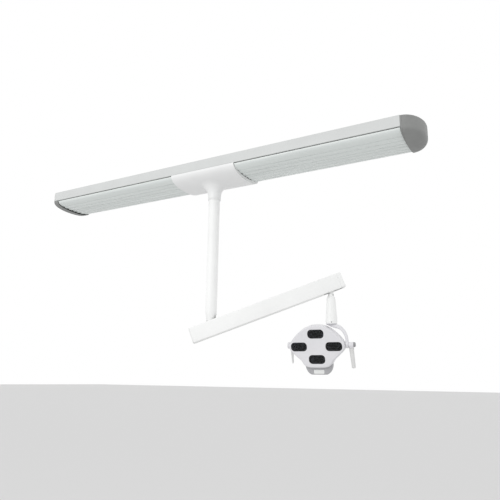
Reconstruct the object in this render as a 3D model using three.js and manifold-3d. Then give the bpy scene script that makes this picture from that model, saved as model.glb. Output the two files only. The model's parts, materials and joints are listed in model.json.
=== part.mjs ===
// Ceiling-mounted dental operating light with a long ambient-light bar.
// Millimetres, +Z up. The origin lies on the bar's ceiling face, on the axis of the down pole, and +X runs
// along the bar, whose left wing is a little longer. The arm and the head hang below the +X, +Y quarter.
import * as THREE from 'three';
import { mergeVertices } from 'three/addons/utils/BufferGeometryUtils.js';
import Module from 'manifold-3d';

const wasm = await Module();
wasm.setup();

// ---------- driving dimensions ----------
const GAP = 0.3; // left between pieces that touch
const DEG = Math.PI / 180;

const BAR_RIGHT = 1086.5; // pole axis to the seam of the right end cap
const BAR_LEFT = 1163; // pole axis to the left end of the strip
const LEFT_SKIRT = 30; // the left end cap reaches this far in under the strip
const LEFT_CAP_LENGTH = 27; // how far the left end cap stands out past the strip
const COVER_HALF = 206.5; // half length of the centre cover
const BAR_W = 281.4;
const STRIP_H = 57; // height of the painted side strip
const SHEET = 2;
const WING_DROP = 92; // lowest point of a diffuser
const WING_FULLNESS = 2.5;
const COVER_DROP = 112; // lowest point of the centre cover
const COVER_FULLNESS = 2.3;
const CAP_LENGTH = 90; // the same for the right end cap
const CAP_DROP = 100; // lowest point of an end cap
const ARC_STEPS = 12;
const SUPPLY_R = 16; // hole for the supply through the bar and its mount plate
const SUPPLY_AT = [62, 0];
const PLATE_LOW = -8.3; // underside of the mount plate
const TUBE_R = 8;

const POLE_R = 31;
const POLE_END_R = 24.5;
const POLE_BOTTOM = -876;
const NECK_BOTTOM = -190;
const NECK_R = 36;
const NECK_FLARE = 44; // how much wider the neck is where it leaves the cover

const LIFT_Z = -917; // height of the lift pin
const ARM_AZIMUTH = 28 * DEG;
const ARM_PITCH = 21 * DEG;
const ARM_PIVOTS = 690; // lift pin to level pin
const ARM_TAIL = 110;
const ARM_NOSE = 67;
const ARM_H = 84;
const ARM_W = 64;
const SHELL = 2.5;
const BEAM_W = 56;
const BEAM_LOW = -38;
const BEAM_HIGH = 34;
const ROD_DROP = 22; // levelling rod pivots below the main pivots

const STEM_TOP = -722;
const STEM_BOTTOM = -884;
const STEM_R = 30.5;
const BRAKE_SIDE = -28 * DEG; // side of the stem that the brake screw is on

const HEAD_AZIMUTH = 8 * DEG;
const HEAD_TILT = 12 * DEG;
const HEAD_Z = -994; // height of the tilt axis
const HEAD_SIDE = 77.5; // stem axis to the middle of the head
const HEAD_HALF = 150;
const FACE = 36; // tilt axis to the front face
const SPLIT = 15; // plane where the front cover meets the rear housing
const WINDOW_W = 88;
const WINDOW_H = 47;
const WINDOW_R = 20; // corner radius
const WINDOW_X = 94;
const WINDOW_Z = 66.5;
const WINDOW_MID = -4; // height of the window cross in the head's own frame
const YOKE_T = 14; // thickness of the yoke's lower end
const YOKE_GAP = 1; // between the head's side and the yoke

const WHITE = { color: 0xf1f2f0, roughness: 0.42, metalness: 0 };
const GREY = { color: 0x8f9291, roughness: 0.5, metalness: 0 };
const LILAC = { color: 0xd3d2da, roughness: 0.45, metalness: 0 };
const STEEL = { color: 0xa8aaac, roughness: 0.35, metalness: 1 };
const BRIGHT = { color: 0xdadcdd, roughness: 0.12, metalness: 1 };
const DIFFUSE = { color: 0xcfd6d2, roughness: 0.35, metalness: 0 };
const DARK = { color: 0x2a2c30, roughness: 0.5, metalness: 0 };
const GLASS = { color: 0x101216, roughness: 0.06, metalness: 0 };
const SPRING = { color: 0x3c3f42, roughness: 0.4, metalness: 1 };

// ---------- helpers ----------
const root = new THREE.Group();

function place(name, geometry, material, parent = root) {
  const mesh = new THREE.Mesh(geometry, new THREE.MeshStandardMaterial(material));
  mesh.name = name;
  parent.add(mesh);
  return mesh;
}

function toSolid(geometry) {
  const bare = geometry.clone();
  bare.deleteAttribute('normal');
  bare.deleteAttribute('uv');
  const merged = mergeVertices(bare, 1e-4);
  return new wasm.Manifold(new wasm.Mesh({
    numProp: 3,
    vertProperties: new Float32Array(merged.attributes.position.array),
    triVerts: new Uint32Array(merged.index.array),
  }));
}

function toGeometry(solid) {
  const mesh = solid.getMesh();
  const geometry = new THREE.BufferGeometry();
  geometry.setAttribute('position', new THREE.BufferAttribute(mesh.vertProperties, 3));
  geometry.setIndex(new THREE.BufferAttribute(mesh.triVerts, 1));
  geometry.computeVertexNormals();
  return geometry;
}

function join(...geometries) {
  return toGeometry(geometries.map(toSolid).reduce((whole, piece) => whole.add(piece)));
}

function cut(geometry, ...tools) {
  return toGeometry(tools.map(toSolid).reduce((whole, tool) => whole.subtract(tool), toSolid(geometry)));
}

function common(a, b) {
  return toGeometry(toSolid(a).intersect(toSolid(b)));
}

// A box given by its low and high corners.
function box(low, high) {
  const size = high.map((value, i) => value - low[i]);
  const middle = high.map((value, i) => (value + low[i]) / 2);
  return new THREE.BoxGeometry(...size).translate(...middle);
}

// A cylinder or cone from start to end along one axis, 'x', 'y' or 'z', at the two other coordinates.
function rod(axis, start, end, radius, at = [0, 0], sides = 16, endRadius = radius) {
  const geometry = new THREE.CylinderGeometry(endRadius, radius, end - start, sides);
  geometry.translate(0, (start + end) / 2, 0);
  if (axis === 'x') return geometry.rotateZ(-Math.PI / 2).translate(0, at[0], at[1]);
  if (axis === 'y') return geometry.translate(at[0], 0, at[1]);
  return geometry.rotateX(Math.PI / 2).translate(at[0], at[1], 0);
}

// A turned piece about Z from [radius, z] points that close on themselves or end on the axis.
function turned(points, sides = 20) {
  const profile = points.map(([r, z]) => new THREE.Vector2(r, z));
  if (THREE.ShapeUtils.area(profile) < 0) profile.reverse();
  return new THREE.LatheGeometry(profile, sides).rotateX(Math.PI / 2);
}

// A ring profile about Z, closed, from outer and inner [radius, z] lists that both run downwards.
function sleeve(outer, inner, sides = 20) {
  const loop = [...inner, ...[...outer].reverse()];
  return turned([...loop, loop[0]], sides);
}

// A [y, z] outline run along X.
function alongX(points, x0, x1) {
  const shape = new THREE.Shape(points.map(([y, z]) => new THREE.Vector2(y, z)));
  const geometry = new THREE.ExtrudeGeometry(shape, { depth: x1 - x0, bevelEnabled: false });
  const turn = new THREE.Matrix4().makeBasis(
    new THREE.Vector3(0, 1, 0),
    new THREE.Vector3(0, 0, 1),
    new THREE.Vector3(1, 0, 0),
  );
  return geometry.applyMatrix4(turn).translate(x0, 0, 0);
}

// An [x, z] shape run along Y.
function alongY(shape, y0, y1, steps = 12, bevel = 0) {
  const geometry = new THREE.ExtrudeGeometry(shape, {
    depth: y1 - y0 - 2 * bevel,
    curveSegments: steps,
    bevelEnabled: bevel > 0,
    bevelThickness: bevel,
    bevelSize: bevel,
    bevelOffset: -bevel,
    bevelSegments: 2,
  });
  return geometry.rotateX(Math.PI / 2).translate(0, y1 - bevel, 0);
}

function roundRect(w, h, r, x = 0, z = 0) {
  const shape = new THREE.Shape();
  shape.absarc(x + w / 2 - r, z + h / 2 - r, r, 0, Math.PI / 2);
  shape.absarc(x - w / 2 + r, z + h / 2 - r, r, Math.PI / 2, Math.PI);
  shape.absarc(x - w / 2 + r, z - h / 2 + r, r, Math.PI, 1.5 * Math.PI);
  shape.absarc(x + w / 2 - r, z - h / 2 + r, r, 1.5 * Math.PI, 2 * Math.PI);
  return shape;
}

// Points of a bow from -half to +half that hangs from zSide to zLow; a larger fullness squares its shoulders.
function bow(half, zSide, zLow, fullness) {
  return Array.from({ length: ARC_STEPS + 1 }, (_, i) => {
    const angle = (Math.PI * i) / ARC_STEPS;
    const across = Math.sign(-Math.cos(angle)) * Math.abs(Math.cos(angle)) ** (2 / fullness);
    return [half * across, zSide - (zSide - zLow) * Math.sin(angle) ** (2 / fullness)];
  });
}

function bowShell(half, zSide, zLow, wall, fullness) {
  const outer = bow(half, zSide, zLow, fullness);
  const inner = bow(half - wall, zSide, zLow + wall, fullness);
  return [...outer, ...inner.reverse()];
}

// ---------- ceiling bar ----------
function chassis() {
  const w = BAR_W / 2;
  const lip = 9;
  const section = [
    [-w, 0], [-w, -STRIP_H], [-w + lip, -STRIP_H], [-w + lip, -STRIP_H + SHEET],
    [-w + SHEET, -STRIP_H + SHEET], [-w + SHEET, -SHEET], [w - SHEET, -SHEET], [w - SHEET, -STRIP_H + SHEET],
    [w - lip, -STRIP_H + SHEET], [w - lip, -STRIP_H], [w, -STRIP_H], [w, 0],
  ];
  const supplyHole = rod('z', -10, 10, SUPPLY_R, SUPPLY_AT, 20);
  return cut(alongX(section, -BAR_LEFT, BAR_RIGHT), supplyHole);
}

// The cap is a turned bowl squeezed along X, so its seam section follows the bar's own section.
// A skirt, where there is one, carries that section in under the strip.
function endCap(side, seam, length, skirt) {
  const rim = BAR_W / 2;
  const wall = 3;
  const dome = bow(rim, -STRIP_H, -CAP_DROP, WING_FULLNESS).filter(([r]) => r > 0.01);
  const hollow = bow(rim - wall, -STRIP_H, -CAP_DROP + wall, WING_FULLNESS).filter(([r]) => r > 0.01);
  const outer = turned([[0, -CAP_DROP], ...dome, [rim, 0], [0, 0]], 28);
  const inner = turned([[0, -CAP_DROP + wall], ...hollow, [rim - wall, -wall], [0, -wall]], 28);
  const squeeze = length / rim;
  outer.scale(squeeze, 1, 1);
  inner.scale((length - wall) / (rim - wall), 1, 1);
  const behind = box([-200, -200, -200], [GAP, 200, 10]);
  const bowl = cut(outer, inner, behind);
  const low = bowShell(rim, -STRIP_H - GAP, -CAP_DROP, wall, WING_FULLNESS);
  const cap = skirt > 0 ? join(bowl, alongX(low, -skirt, GAP + 1)) : bowl;
  if (side < 0) cap.rotateZ(Math.PI);
  return cap.translate(side * seam, 0, 0);
}

// Where a wing's tray and diffuser end, and the middle of the wing.
const wingEnd = (side) => (side < 0 ? BAR_LEFT - LEFT_SKIRT : BAR_RIGHT);
const wingMid = (side) => (side * (wingEnd(side) + COVER_HALF)) / 2;

// The tray starts past the centre and leaves room for the lampholders at both ends.
function reflectorTray(side) {
  const lower = [[-126, -52], [-104, -30], [-14, -30], [0, -42], [14, -30], [104, -30], [126, -52]];
  const upper = lower.map(([y, z]) => [y, z + 1.5]).reverse();
  const near = COVER_HALF + 4;
  const far = wingEnd(side) - 4;
  return alongX([...lower, ...upper], Math.min(side * near, side * far), Math.max(side * near, side * far));
}

function diffuser(side) {
  const near = COVER_HALF + 1;
  const far = wingEnd(side) - 1.5;
  const section = bowShell(BAR_W / 2 - 5.5, -STRIP_H - 3, -WING_DROP, 2.5, WING_FULLNESS);
  return alongX(section, Math.min(side * near, side * far), Math.max(side * near, side * far));
}

const TUBE_HALF = 849 / 2;
const TUBE_Y = 60;
const TUBE_Z = -52;

function fluorescentTube(side, row) {
  const glass = rod('x', -TUBE_HALF, TUBE_HALF, TUBE_R, [0, 0], 16);
  return glass.translate(wingMid(side), row * TUBE_Y, TUBE_Z);
}

// One moulded bar with two sockets; end is +1 at the outer end of the wing.
function lampholder(side, end) {
  const x0 = TUBE_HALF + GAP;
  const body = box([x0, -74, -64], [x0 + 9, 74, -43]);
  const sockets = [-1, 1].map((row) => rod('x', x0 - 7, x0 + 1, 12, [row * TUBE_Y, TUBE_Z], 12));
  const bores = [-1, 1].map((row) => rod('x', x0 - 8, x0 - GAP, TUBE_R + GAP, [row * TUBE_Y, TUBE_Z], 12));
  const holder = cut(join(body, ...sockets), ...bores);
  if (side * end < 0) holder.rotateZ(Math.PI);
  return holder.translate(wingMid(side), 0, 0);
}

// The centre cover and its flared neck are one moulding, open above and through the neck.
function centreCover() {
  const wall = 2.5;
  const half = BAR_W / 2;
  const section = bowShell(half, -STRIP_H - GAP, -COVER_DROP, wall, COVER_FULLNESS);
  const skin = alongX(section, -COVER_HALF, COVER_HALF);
  const lip = bowShell(half - 1, -STRIP_H - GAP, -COVER_DROP + 1, 12, COVER_FULLNESS);
  const lips = [-1, 1].map((side) => {
    const x = side * (COVER_HALF - 3);
    return alongX(lip, x - 3, x + 3);
  });
  const flareTop = -COVER_DROP + 8;
  const neck = [];
  const hollow = [];
  for (let i = 0; i <= 6; i += 1) {
    const t = i / 6;
    const z = flareTop + (NECK_BOTTOM - flareTop) * t;
    const r = NECK_R + NECK_FLARE * (1 - t) ** 3.2;
    neck.push([r, z]);
    hollow.push([r - 2.6, z]);
  }
  const outside = turned([[0, flareTop], ...neck, [0, NECK_BOTTOM]], 28);
  const mouth = [[0, flareTop + 30], [hollow[0][0], flareTop + 30]];
  const inside = turned([...mouth, ...hollow, [0, NECK_BOTTOM - 1]], 28);
  return cut(join(skin, ...lips, outside), inside);
}

place('chassis', chassis(), WHITE);
const plate = box([-100, -100, PLATE_LOW], [100, 100, -SHEET - GAP]);
place('mount_plate', cut(plate, rod('z', -20, 0, SUPPLY_R, SUPPLY_AT, 20)), STEEL);
place('end_cap_left', endCap(-1, BAR_LEFT, LEFT_CAP_LENGTH, LEFT_SKIRT), GREY);
place('end_cap_right', endCap(1, BAR_RIGHT, CAP_LENGTH, 0), GREY);
for (const [name, side] of [['left', -1], ['right', 1]]) {
  place(`reflector_tray_${name}`, reflectorTray(side), WHITE);
  place(`diffuser_${name}`, diffuser(side), DIFFUSE);
  place(`ballast_${name}`, box([-180, -15, -25], [180, 15, -4]).translate(wingMid(side), 0, 0), STEEL);
  place(`lamp_${name}_front`, fluorescentTube(side, -1), WHITE);
  place(`lamp_${name}_rear`, fluorescentTube(side, 1), WHITE);
  place(`lampholder_${name}_inner`, lampholder(side, -1), WHITE);
  place(`lampholder_${name}_outer`, lampholder(side, 1), WHITE);
}
place('centre_cover', centreCover(), WHITE);
place('power_supply', box([-196, -32, -46], [-106, 32, -10]), STEEL);

// ---------- down pole ----------
const FLANGE_TOP = PLATE_LOW - GAP;
const flangeDisc = [[86, FLANGE_TOP], [86, -18.6], [42, -18.6], [40, -70]];
const flangeBore = [[POLE_R + GAP, FLANGE_TOP], [POLE_R + GAP, -70]];
const anchorHoles = [45, 135, 225, 315].map((angle) => {
  const at = [68 * Math.cos(angle * DEG), 68 * Math.sin(angle * DEG)];
  return rod('z', -30, 0, 5.5, at, 12);
});
place('pole_flange', cut(sleeve(flangeDisc, flangeBore), ...anchorHoles), STEEL);
place('pole', sleeve(
  [[POLE_R, FLANGE_TOP - GAP], [POLE_R, -832], [POLE_END_R, -870], [POLE_END_R, POLE_BOTTOM]],
  [[28, FLANGE_TOP - GAP], [28, -826], [20.8, -832], [20.8, POLE_BOTTOM]],
), WHITE);
place('neck_ring', sleeve(
  [[NECK_R, NECK_BOTTOM - GAP], [NECK_R, NECK_BOTTOM - 4], [NECK_R - 2.5, NECK_BOTTOM - 7]],
  [[POLE_R + GAP, NECK_BOTTOM - GAP], [POLE_R + GAP, NECK_BOTTOM - 7]],
), WHITE);
place('pole_bush', sleeve(
  [[27.7, -786], [27.7, -822]],
  [[20.4, -786], [20.4, -822]],
), DARK);

// ---------- arm knuckle ----------
const armTurn = new THREE.Group();
armTurn.rotation.z = ARM_AZIMUTH;
root.add(armTurn);

const BARREL_R = 31;
const CHEEK = 22;
const ROD_SLOT = 6.4;
const ROD_PIN_R = 4;
const MAIN_PIN_R = 8;

// A barrel across the arm with two thrust faces, a cross pin for the levelling rod and a slot for the rod.
// reach is +1 where the rod leaves towards +X and -1 where it leaves towards -X; floor is the slot's low end.
function knuckleBarrel(reach, floor) {
  const barrel = rod('y', -CHEEK, CHEEK, BARREL_R, [0, 0], 20);
  const thrust = rod('y', -25.7, 25.7, 15, [0, 0], 16);
  const bore = rod('y', -40, 40, MAIN_PIN_R + GAP, [0, 0], 16);
  const xs = [0, 60 * reach].sort((a, b) => a - b);
  const slotBox = box([xs[0], -ROD_SLOT, floor], [xs[1], ROD_SLOT, 16]);
  const keep = rod('y', -ROD_SLOT - 1, ROD_SLOT + 1, 11.5, [0, 0], 16);
  const below = box([-10, -ROD_SLOT, -33], [10, ROD_SLOT, -10]);
  const pin = rod('y', -CHEEK + 1, CHEEK - 1, ROD_PIN_R, [0, -ROD_DROP], 10);
  return { body: join(barrel, thrust), slot: cut(join(slotBox, below), keep), bore, pin };
}

function swivelKnuckle() {
  const { body, slot, bore, pin } = knuckleBarrel(1, -60);
  const spindle = turned([
    [0, 147], [18, 147], [20, 145], [20, 41 - GAP], [24.5, 41 - GAP], [24.5, 34], [22, 32], [22, 0], [0, 0],
  ]);
  const tongue = cut(spindle, box([-30, CHEEK, -1], [30, 40, 34]), box([-30, -40, -1], [30, -CHEEK, 34]));
  const block = cut(join(body, tongue), slot, bore);
  return join(block, pin).translate(0, 0, LIFT_Z);
}
place('swivel_knuckle', swivelKnuckle(), STEEL, armTurn);

// ---------- spring arm ----------
const armPitch = new THREE.Group();
armPitch.position.z = LIFT_Z;
armPitch.rotation.y = -ARM_PITCH;
armTurn.add(armPitch);

const POLE_SLOT = 74;
const STEM_SLOT = 57;
const END_PLATE = 5;
const SHELL_START = -ARM_TAIL + END_PLATE + GAP;
const SHELL_END = ARM_PIVOTS + ARM_NOSE - END_PLATE - GAP;

// Half of the painted cover; side is -1 at the front of the arm.
function armShell(side) {
  const w = ARM_W / 2;
  const h = ARM_H / 2;
  const seam = GAP / 2;
  const section = [
    [seam, h], [w, h], [w, -h], [seam, -h], [seam, -h + SHELL], [w - SHELL, -h + SHELL],
    [w - SHELL, h - SHELL], [seam, h - SHELL],
  ];
  const shell = alongX(section, SHELL_START, SHELL_END);
  const poleSlot = box([-POLE_SLOT, -1, h - 10], [POLE_SLOT, 27, h + 10]);
  const stemSlot = box([ARM_PIVOTS - STEM_SLOT, -1, -h - 10], [ARM_PIVOTS + 54, 17, -h + 10]);
  const half = cut(shell, poleSlot, stemSlot);
  if (side > 0) return half;
  return toGeometry(toSolid(half).mirror([0, 1, 0]));
}

function armBeam() {
  const w = BEAM_W / 2;
  const wall = 2;
  const section = [
    [-w, BEAM_HIGH], [-w, BEAM_LOW], [w, BEAM_LOW], [w, BEAM_HIGH], [w - wall, BEAM_HIGH],
    [w - wall, BEAM_LOW + wall], [-w + wall, BEAM_LOW + wall], [-w + wall, BEAM_HIGH],
  ];
  const channel = alongX(section, -60, ARM_PIVOTS + 48);
  const stemSlot = box([ARM_PIVOTS - STEM_SLOT, -17, BEAM_LOW - 5], [ARM_PIVOTS + 60, 17, BEAM_LOW + 5]);
  const liftBore = rod('y', -40, 40, MAIN_PIN_R + GAP, [0, 0]);
  const levelBore = rod('y', -40, 40, MAIN_PIN_R + GAP, [ARM_PIVOTS, 0]);
  return cut(channel, stemSlot, liftBore, levelBore);
}

function pivotPin(x) {
  return rod('y', -BEAM_W / 2 - 1, BEAM_W / 2 + 1, MAIN_PIN_R, [x, 0]);
}

// A closed plate with a spigot that fits inside the shells; outward is the side it faces.
function armEndCap(x, outward) {
  const plate = roundRect(ARM_H, ARM_W, 6).getPoints(4).map((p) => [p.y, p.x]).reverse();
  const inner = roundRect(ARM_H - 6.2, ARM_W - 6.2, 3).getPoints(4).map((p) => [p.y, p.x]).reverse();
  const outer = alongX(plate, Math.min(x, x - outward * END_PLATE), Math.max(x, x - outward * END_PLATE));
  const root0 = x - outward * (END_PLATE - 0.5);
  const root1 = x - outward * (END_PLATE + 3);
  return join(outer, alongX(inner, Math.min(root0, root1), Math.max(root0, root1)));
}

const SPRING_R = 13;
const SPRING_WIRE = 2.4;
const SPRING_START = 150;
const SPRING_END = 390;
const SPRING_TURNS = 11;
const SPRING_Z = 14;

class Helix extends THREE.Curve {
  getPoint(t, target = new THREE.Vector3()) {
    const angle = 2 * Math.PI * SPRING_TURNS * t;
    const x = SPRING_START + SPRING_WIRE + (SPRING_END - SPRING_START - 2 * SPRING_WIRE) * t;
    return target.set(x, SPRING_R * Math.cos(angle), SPRING_Z + SPRING_R * Math.sin(angle));
  }
}

function balanceSpring() {
  const wire = new THREE.Shape(Array.from({ length: 5 }, (_, i) => new THREE.Vector2(
    SPRING_WIRE * Math.cos((i * 2 * Math.PI) / 5),
    SPRING_WIRE * Math.sin((i * 2 * Math.PI) / 5),
  )));
  return new THREE.ExtrudeGeometry(wire, { steps: SPRING_TURNS * 8, extrudePath: new Helix() });
}

// The pull rod with the plate that the spring bears on.
function springRod() {
  const shaft = rod('x', 48, SPRING_END + 30, 5, [0, SPRING_Z], 16);
  const plate = rod('x', SPRING_END + GAP, SPRING_END + 6, 18, [0, SPRING_Z], 24);
  const nut = rod('x', SPRING_END + 5, SPRING_END + 18, 9, [0, SPRING_Z], 6);
  return join(shaft, plate, nut);
}

function springSeat() {
  const block = box([138, -BEAM_W / 2 + 2 + GAP, -4], [SPRING_START - GAP, BEAM_W / 2 - 2 - GAP, 33]);
  return cut(block, rod('x', 130, 160, 5.6, [0, SPRING_Z], 16));
}

place('arm_beam', armBeam(), STEEL, armPitch);
place('arm_shell_front', armShell(-1), WHITE, armPitch);
place('arm_shell_rear', armShell(1), WHITE, armPitch);
place('arm_tail_cap', armEndCap(-ARM_TAIL, -1), WHITE, armPitch);
place('arm_nose_cap', armEndCap(ARM_PIVOTS + ARM_NOSE, 1), WHITE, armPitch);
place('lift_pin', pivotPin(0), STEEL, armPitch);
place('level_pin', pivotPin(ARM_PIVOTS), STEEL, armPitch);
place('balance_spring', balanceSpring(), SPRING, armPitch);
place('spring_rod', springRod(), STEEL, armPitch);
place('spring_seat', springSeat(), STEEL, armPitch);

// The rod keeps the stem upright; its pivots lie straight below the main ones.
function levellingRod() {
  const bar = rod('x', 0, ARM_PIVOTS, 4, [0, 0], 12);
  const eyes = [0, ARM_PIVOTS].map((x) => rod('y', -ROD_SLOT + GAP, ROD_SLOT - GAP, 8, [x, 0], 20));
  const bores = [0, ARM_PIVOTS].map((x) => rod('y', -20, 20, ROD_PIN_R + 0.5, [x, 0], 16));
  const shift = [-ROD_DROP * Math.sin(ARM_PITCH), 0, -ROD_DROP * Math.cos(ARM_PITCH)];
  return cut(join(bar, ...eyes), ...bores).translate(...shift);
}
place('levelling_rod', levellingRod(), STEEL, armPitch);

// ---------- stem ----------
const reach = ARM_PIVOTS * Math.cos(ARM_PITCH);
const STEM_X = reach * Math.cos(ARM_AZIMUTH);
const STEM_Y = reach * Math.sin(ARM_AZIMUTH);
const LEVEL_Z = LIFT_Z + ARM_PIVOTS * Math.sin(ARM_PITCH);
const SPINDLE_R = 9;

const noseFrame = new THREE.Group();
noseFrame.position.set(STEM_X, STEM_Y, 0);
noseFrame.rotation.z = ARM_AZIMUTH;
root.add(noseFrame);

function noseKnuckle() {
  const { body, slot, bore, pin } = knuckleBarrel(-1, -43);
  const low = STEM_TOP - LEVEL_Z;
  const neck = turned([
    [0, -20], [14.5, -20], [14.5, low + GAP], [SPINDLE_R, low + GAP], [SPINDLE_R, low - 128], [13, low - 128],
    [13, low - 136], [0, low - 136],
  ], 28);
  const block = cut(join(body, neck), slot, bore);
  return join(block, pin).translate(0, 0, LEVEL_Z);
}
place('nose_knuckle', noseKnuckle(), WHITE, noseFrame);

const stemFrame = new THREE.Group();
stemFrame.position.set(STEM_X, STEM_Y, 0);
stemFrame.rotation.z = HEAD_AZIMUTH;
root.add(stemFrame);

place('stem_housing', sleeve(
  [[15, STEM_TOP], [15, STEM_TOP - 12], [22, STEM_TOP - 23], [24, STEM_TOP - 34], [25.5, STEM_TOP - 60],
    [STEM_R, STEM_BOTTOM + 28], [STEM_R, STEM_BOTTOM + 5], [29, STEM_BOTTOM]],
  [[SPINDLE_R + GAP, STEM_TOP], [SPINDLE_R + GAP, STEM_TOP - 40], [20, STEM_TOP - 48], [26, STEM_BOTTOM]],
), WHITE, stemFrame);
const screw = rod('x', 15 + GAP, 17.6, 3, [0, STEM_TOP - 8.5], 12);
const brakeScrew = place('brake_screw', screw, STEEL, stemFrame);
brakeScrew.rotation.z = BRAKE_SIDE;

// ---------- yoke ----------
// Heights in the yoke's outline are measured from the tilt axis, x from the stem axis.
const YOKE_OUT = HEAD_HALF + YOKE_GAP + YOKE_T - HEAD_SIDE;
const YOKE_IN = YOKE_OUT - YOKE_T;
const YOKE_DEPTH = 22; // height of the yoke where it leaves the stem

function yokeArm() {
  const top = STEM_BOTTOM - GAP - HEAD_Z;
  const centre = [16, 14];
  const outer = [YOKE_OUT - centre[0], top - centre[1]];
  const inner = [YOKE_IN - centre[0], top - centre[1] - YOKE_DEPTH];
  const arch = new THREE.Shape();
  arch.absellipse(...centre, ...outer, 0, Math.PI / 2, false, 0);
  arch.lineTo(centre[0], top - YOKE_DEPTH);
  arch.absellipse(...centre, ...inner, Math.PI / 2, 0, true, 0);
  arch.lineTo(YOKE_IN, -8);
  arch.lineTo(YOKE_OUT, -8);
  const limb = alongY(arch, -12, 12, 9);
  const disc = turned([[0, top], [29, top], [29, top - 3], [23, top - 5.5], [0, top - 5.5]], 24);
  const hub = rod('x', YOKE_IN, YOKE_OUT, 18, [0, 0], 20);
  const bore = rod('x', YOKE_IN - 5, YOKE_OUT + 5, SPINDLE_R + GAP, [0, 0], 16);
  return cut(join(limb, disc, hub), bore).translate(0, 0, HEAD_Z);
}
place('yoke_arm', yokeArm(), LILAC, stemFrame);

// ---------- lamp head ----------
// In the head's frame x runs along the tilt axis, the face looks along -y and z is up in the face's plane.
const head = new THREE.Group();
head.position.set(-HEAD_SIDE, 0, HEAD_Z);
head.rotation.x = HEAD_TILT;
stemFrame.add(head);

// Half of the outline, from the top down to the chin; the other half is its mirror image.
function headOutline(scale = 1) {
  const rightSide = [
    [0, 110], [45, 102], [82, 81], [113, 54], [139, 24], [HEAD_HALF, -2], [142, -26], [112, -56], [86, -80],
    [73, -100], [52, -112], [0, -115],
  ];
  const leftSide = rightSide.slice(1, -1).reverse().map(([x, z]) => [-x, z]);
  const knots = [...rightSide, ...leftSide].map(([x, z]) => new THREE.Vector3(x, z, 0));
  const curve = new THREE.CatmullRomCurve3(knots, true, 'centripetal');
  const points = curve.getSpacedPoints(40).slice(0, -1);
  return new THREE.Shape(points.map((p) => new THREE.Vector2(p.x * scale, p.y * scale)).reverse());
}

function rearDome(grow) {
  const dome = new THREE.SphereGeometry(1, 28, 14);
  dome.scale(190 + grow, 60 + grow, 158 + grow);
  return dome.translate(0, -10, -8);
}

function rearHousing() {
  const outside = common(alongY(headOutline(), -SPLIT + GAP, 60), rearDome(0));
  const inside = common(alongY(headOutline(0.965), -SPLIT - 5, 60), rearDome(-3));
  const shaftHole = rod('x', 120, 165, SPINDLE_R + GAP, [0, 0]);
  return cut(outside, inside, shaftHole);
}

const windowPlaces = [
  ['top', 0, WINDOW_MID + WINDOW_Z],
  ['left', -WINDOW_X, WINDOW_MID],
  ['right', WINDOW_X, WINDOW_MID],
  ['bottom', 0, WINDOW_MID - WINDOW_Z],
];

function frontCover() {
  const full = alongY(headOutline(), -FACE, 10, 1, 7);
  const behind = box([-300, -SPLIT, -300], [300, 60, 300]);
  const hollow = alongY(headOutline(0.955), -FACE + 5, 20, 1);
  const opening = (x, z) => alongY(roundRect(WINDOW_W, WINDOW_H, WINDOW_R, x, z), -60, 0, 5);
  return cut(full, behind, hollow, ...windowPlaces.map(([, x, z]) => opening(x, z)));
}

function lens(x, z) {
  const w = WINDOW_W - 2 * GAP;
  const h = WINDOW_H - 2 * GAP;
  return alongY(roundRect(w, h, WINDOW_R - GAP, x, z), -FACE + 2, -FACE + 5.5, 5);
}

// A tapering faceted cup, open at the lens and at the light source.
function reflectorCup(x, z) {
  const front = -FACE + 6;
  const back = 2;
  const widen = 1.86;
  const outer = rod('y', front, back, 22, [0, 0], 16, 13);
  const inner = rod('y', front - 0.01, back + 0.01, 20.6, [0, 0], 16, 11.6);
  return cut(outer, inner).scale(widen, 1, 1).translate(x, 0, z);
}

function ledBoard() {
  const board = alongY(headOutline(0.84), 2.5, 5);
  const chips = windowPlaces.map(([, x, z]) => box([x - 12, -0.5, z - 5], [x + 12, 3, z + 5]));
  return join(board, ...chips);
}

function heatSink() {
  const fins = 11;
  const pitch = 14;
  const half = ((fins - 1) * pitch) / 2 + 2;
  const outline = [[-half, 5.5], [half, 5.5]];
  for (let i = fins - 1; i >= 0; i -= 1) {
    const x = (i - (fins - 1) / 2) * pitch;
    outline.push([x + 2, 34], [x - 2, 34]);
    if (i > 0) outline.push([x - 2, 10], [x - pitch + 2, 10]);
  }
  const shape = new THREE.Shape(outline.map(([x, y]) => new THREE.Vector2(x, y)));
  return new THREE.ExtrudeGeometry(shape, { depth: 110, bevelEnabled: false }).translate(0, 0, -62);
}

const CHIN_FRONT = -8;
const CHIN_BACK = 32;
const CHIN_LOW = -156;
const SENSOR_Z = -140;
const SENSOR_W = 57;
const SENSOR_H = 22;

// The bowl under the face carries the sensor window; the head's own outline is cut out of it.
function chinPod() {
  const bowl = new THREE.Shape();
  bowl.moveTo(74, -100);
  bowl.bezierCurveTo(74, -124, 60, CHIN_LOW, 36, CHIN_LOW);
  bowl.lineTo(-36, CHIN_LOW);
  bowl.bezierCurveTo(-60, CHIN_LOW, -74, -124, -74, -100);
  const solid = alongY(bowl, CHIN_FRONT, CHIN_BACK, 8, 4);
  const hollow = alongY(headOutline(1.004), -60, 60);
  const recess = roundRect(SENSOR_W + 1, SENSOR_H + 1, 5, 0, SENSOR_Z);
  const pocket = alongY(recess, CHIN_FRONT - 10, CHIN_FRONT + 4, 4);
  return cut(solid, hollow, pocket);
}

function sensorWindow() {
  return alongY(roundRect(SENSOR_W, SENSOR_H, 4.6, 0, SENSOR_Z), CHIN_FRONT - 1, CHIN_FRONT + 3.6, 4);
}

const SHAFT_IN = 132;
const HUB_IN = HEAD_HALF + YOKE_GAP + GAP + YOKE_T;
const KNOB_IN = 192;
const KNOB_OUT = 201;
const HUB_LEFT = -164;
const GRIP_X = 178.5;
const GRIP_LEFT = [-156, 40];

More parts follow.
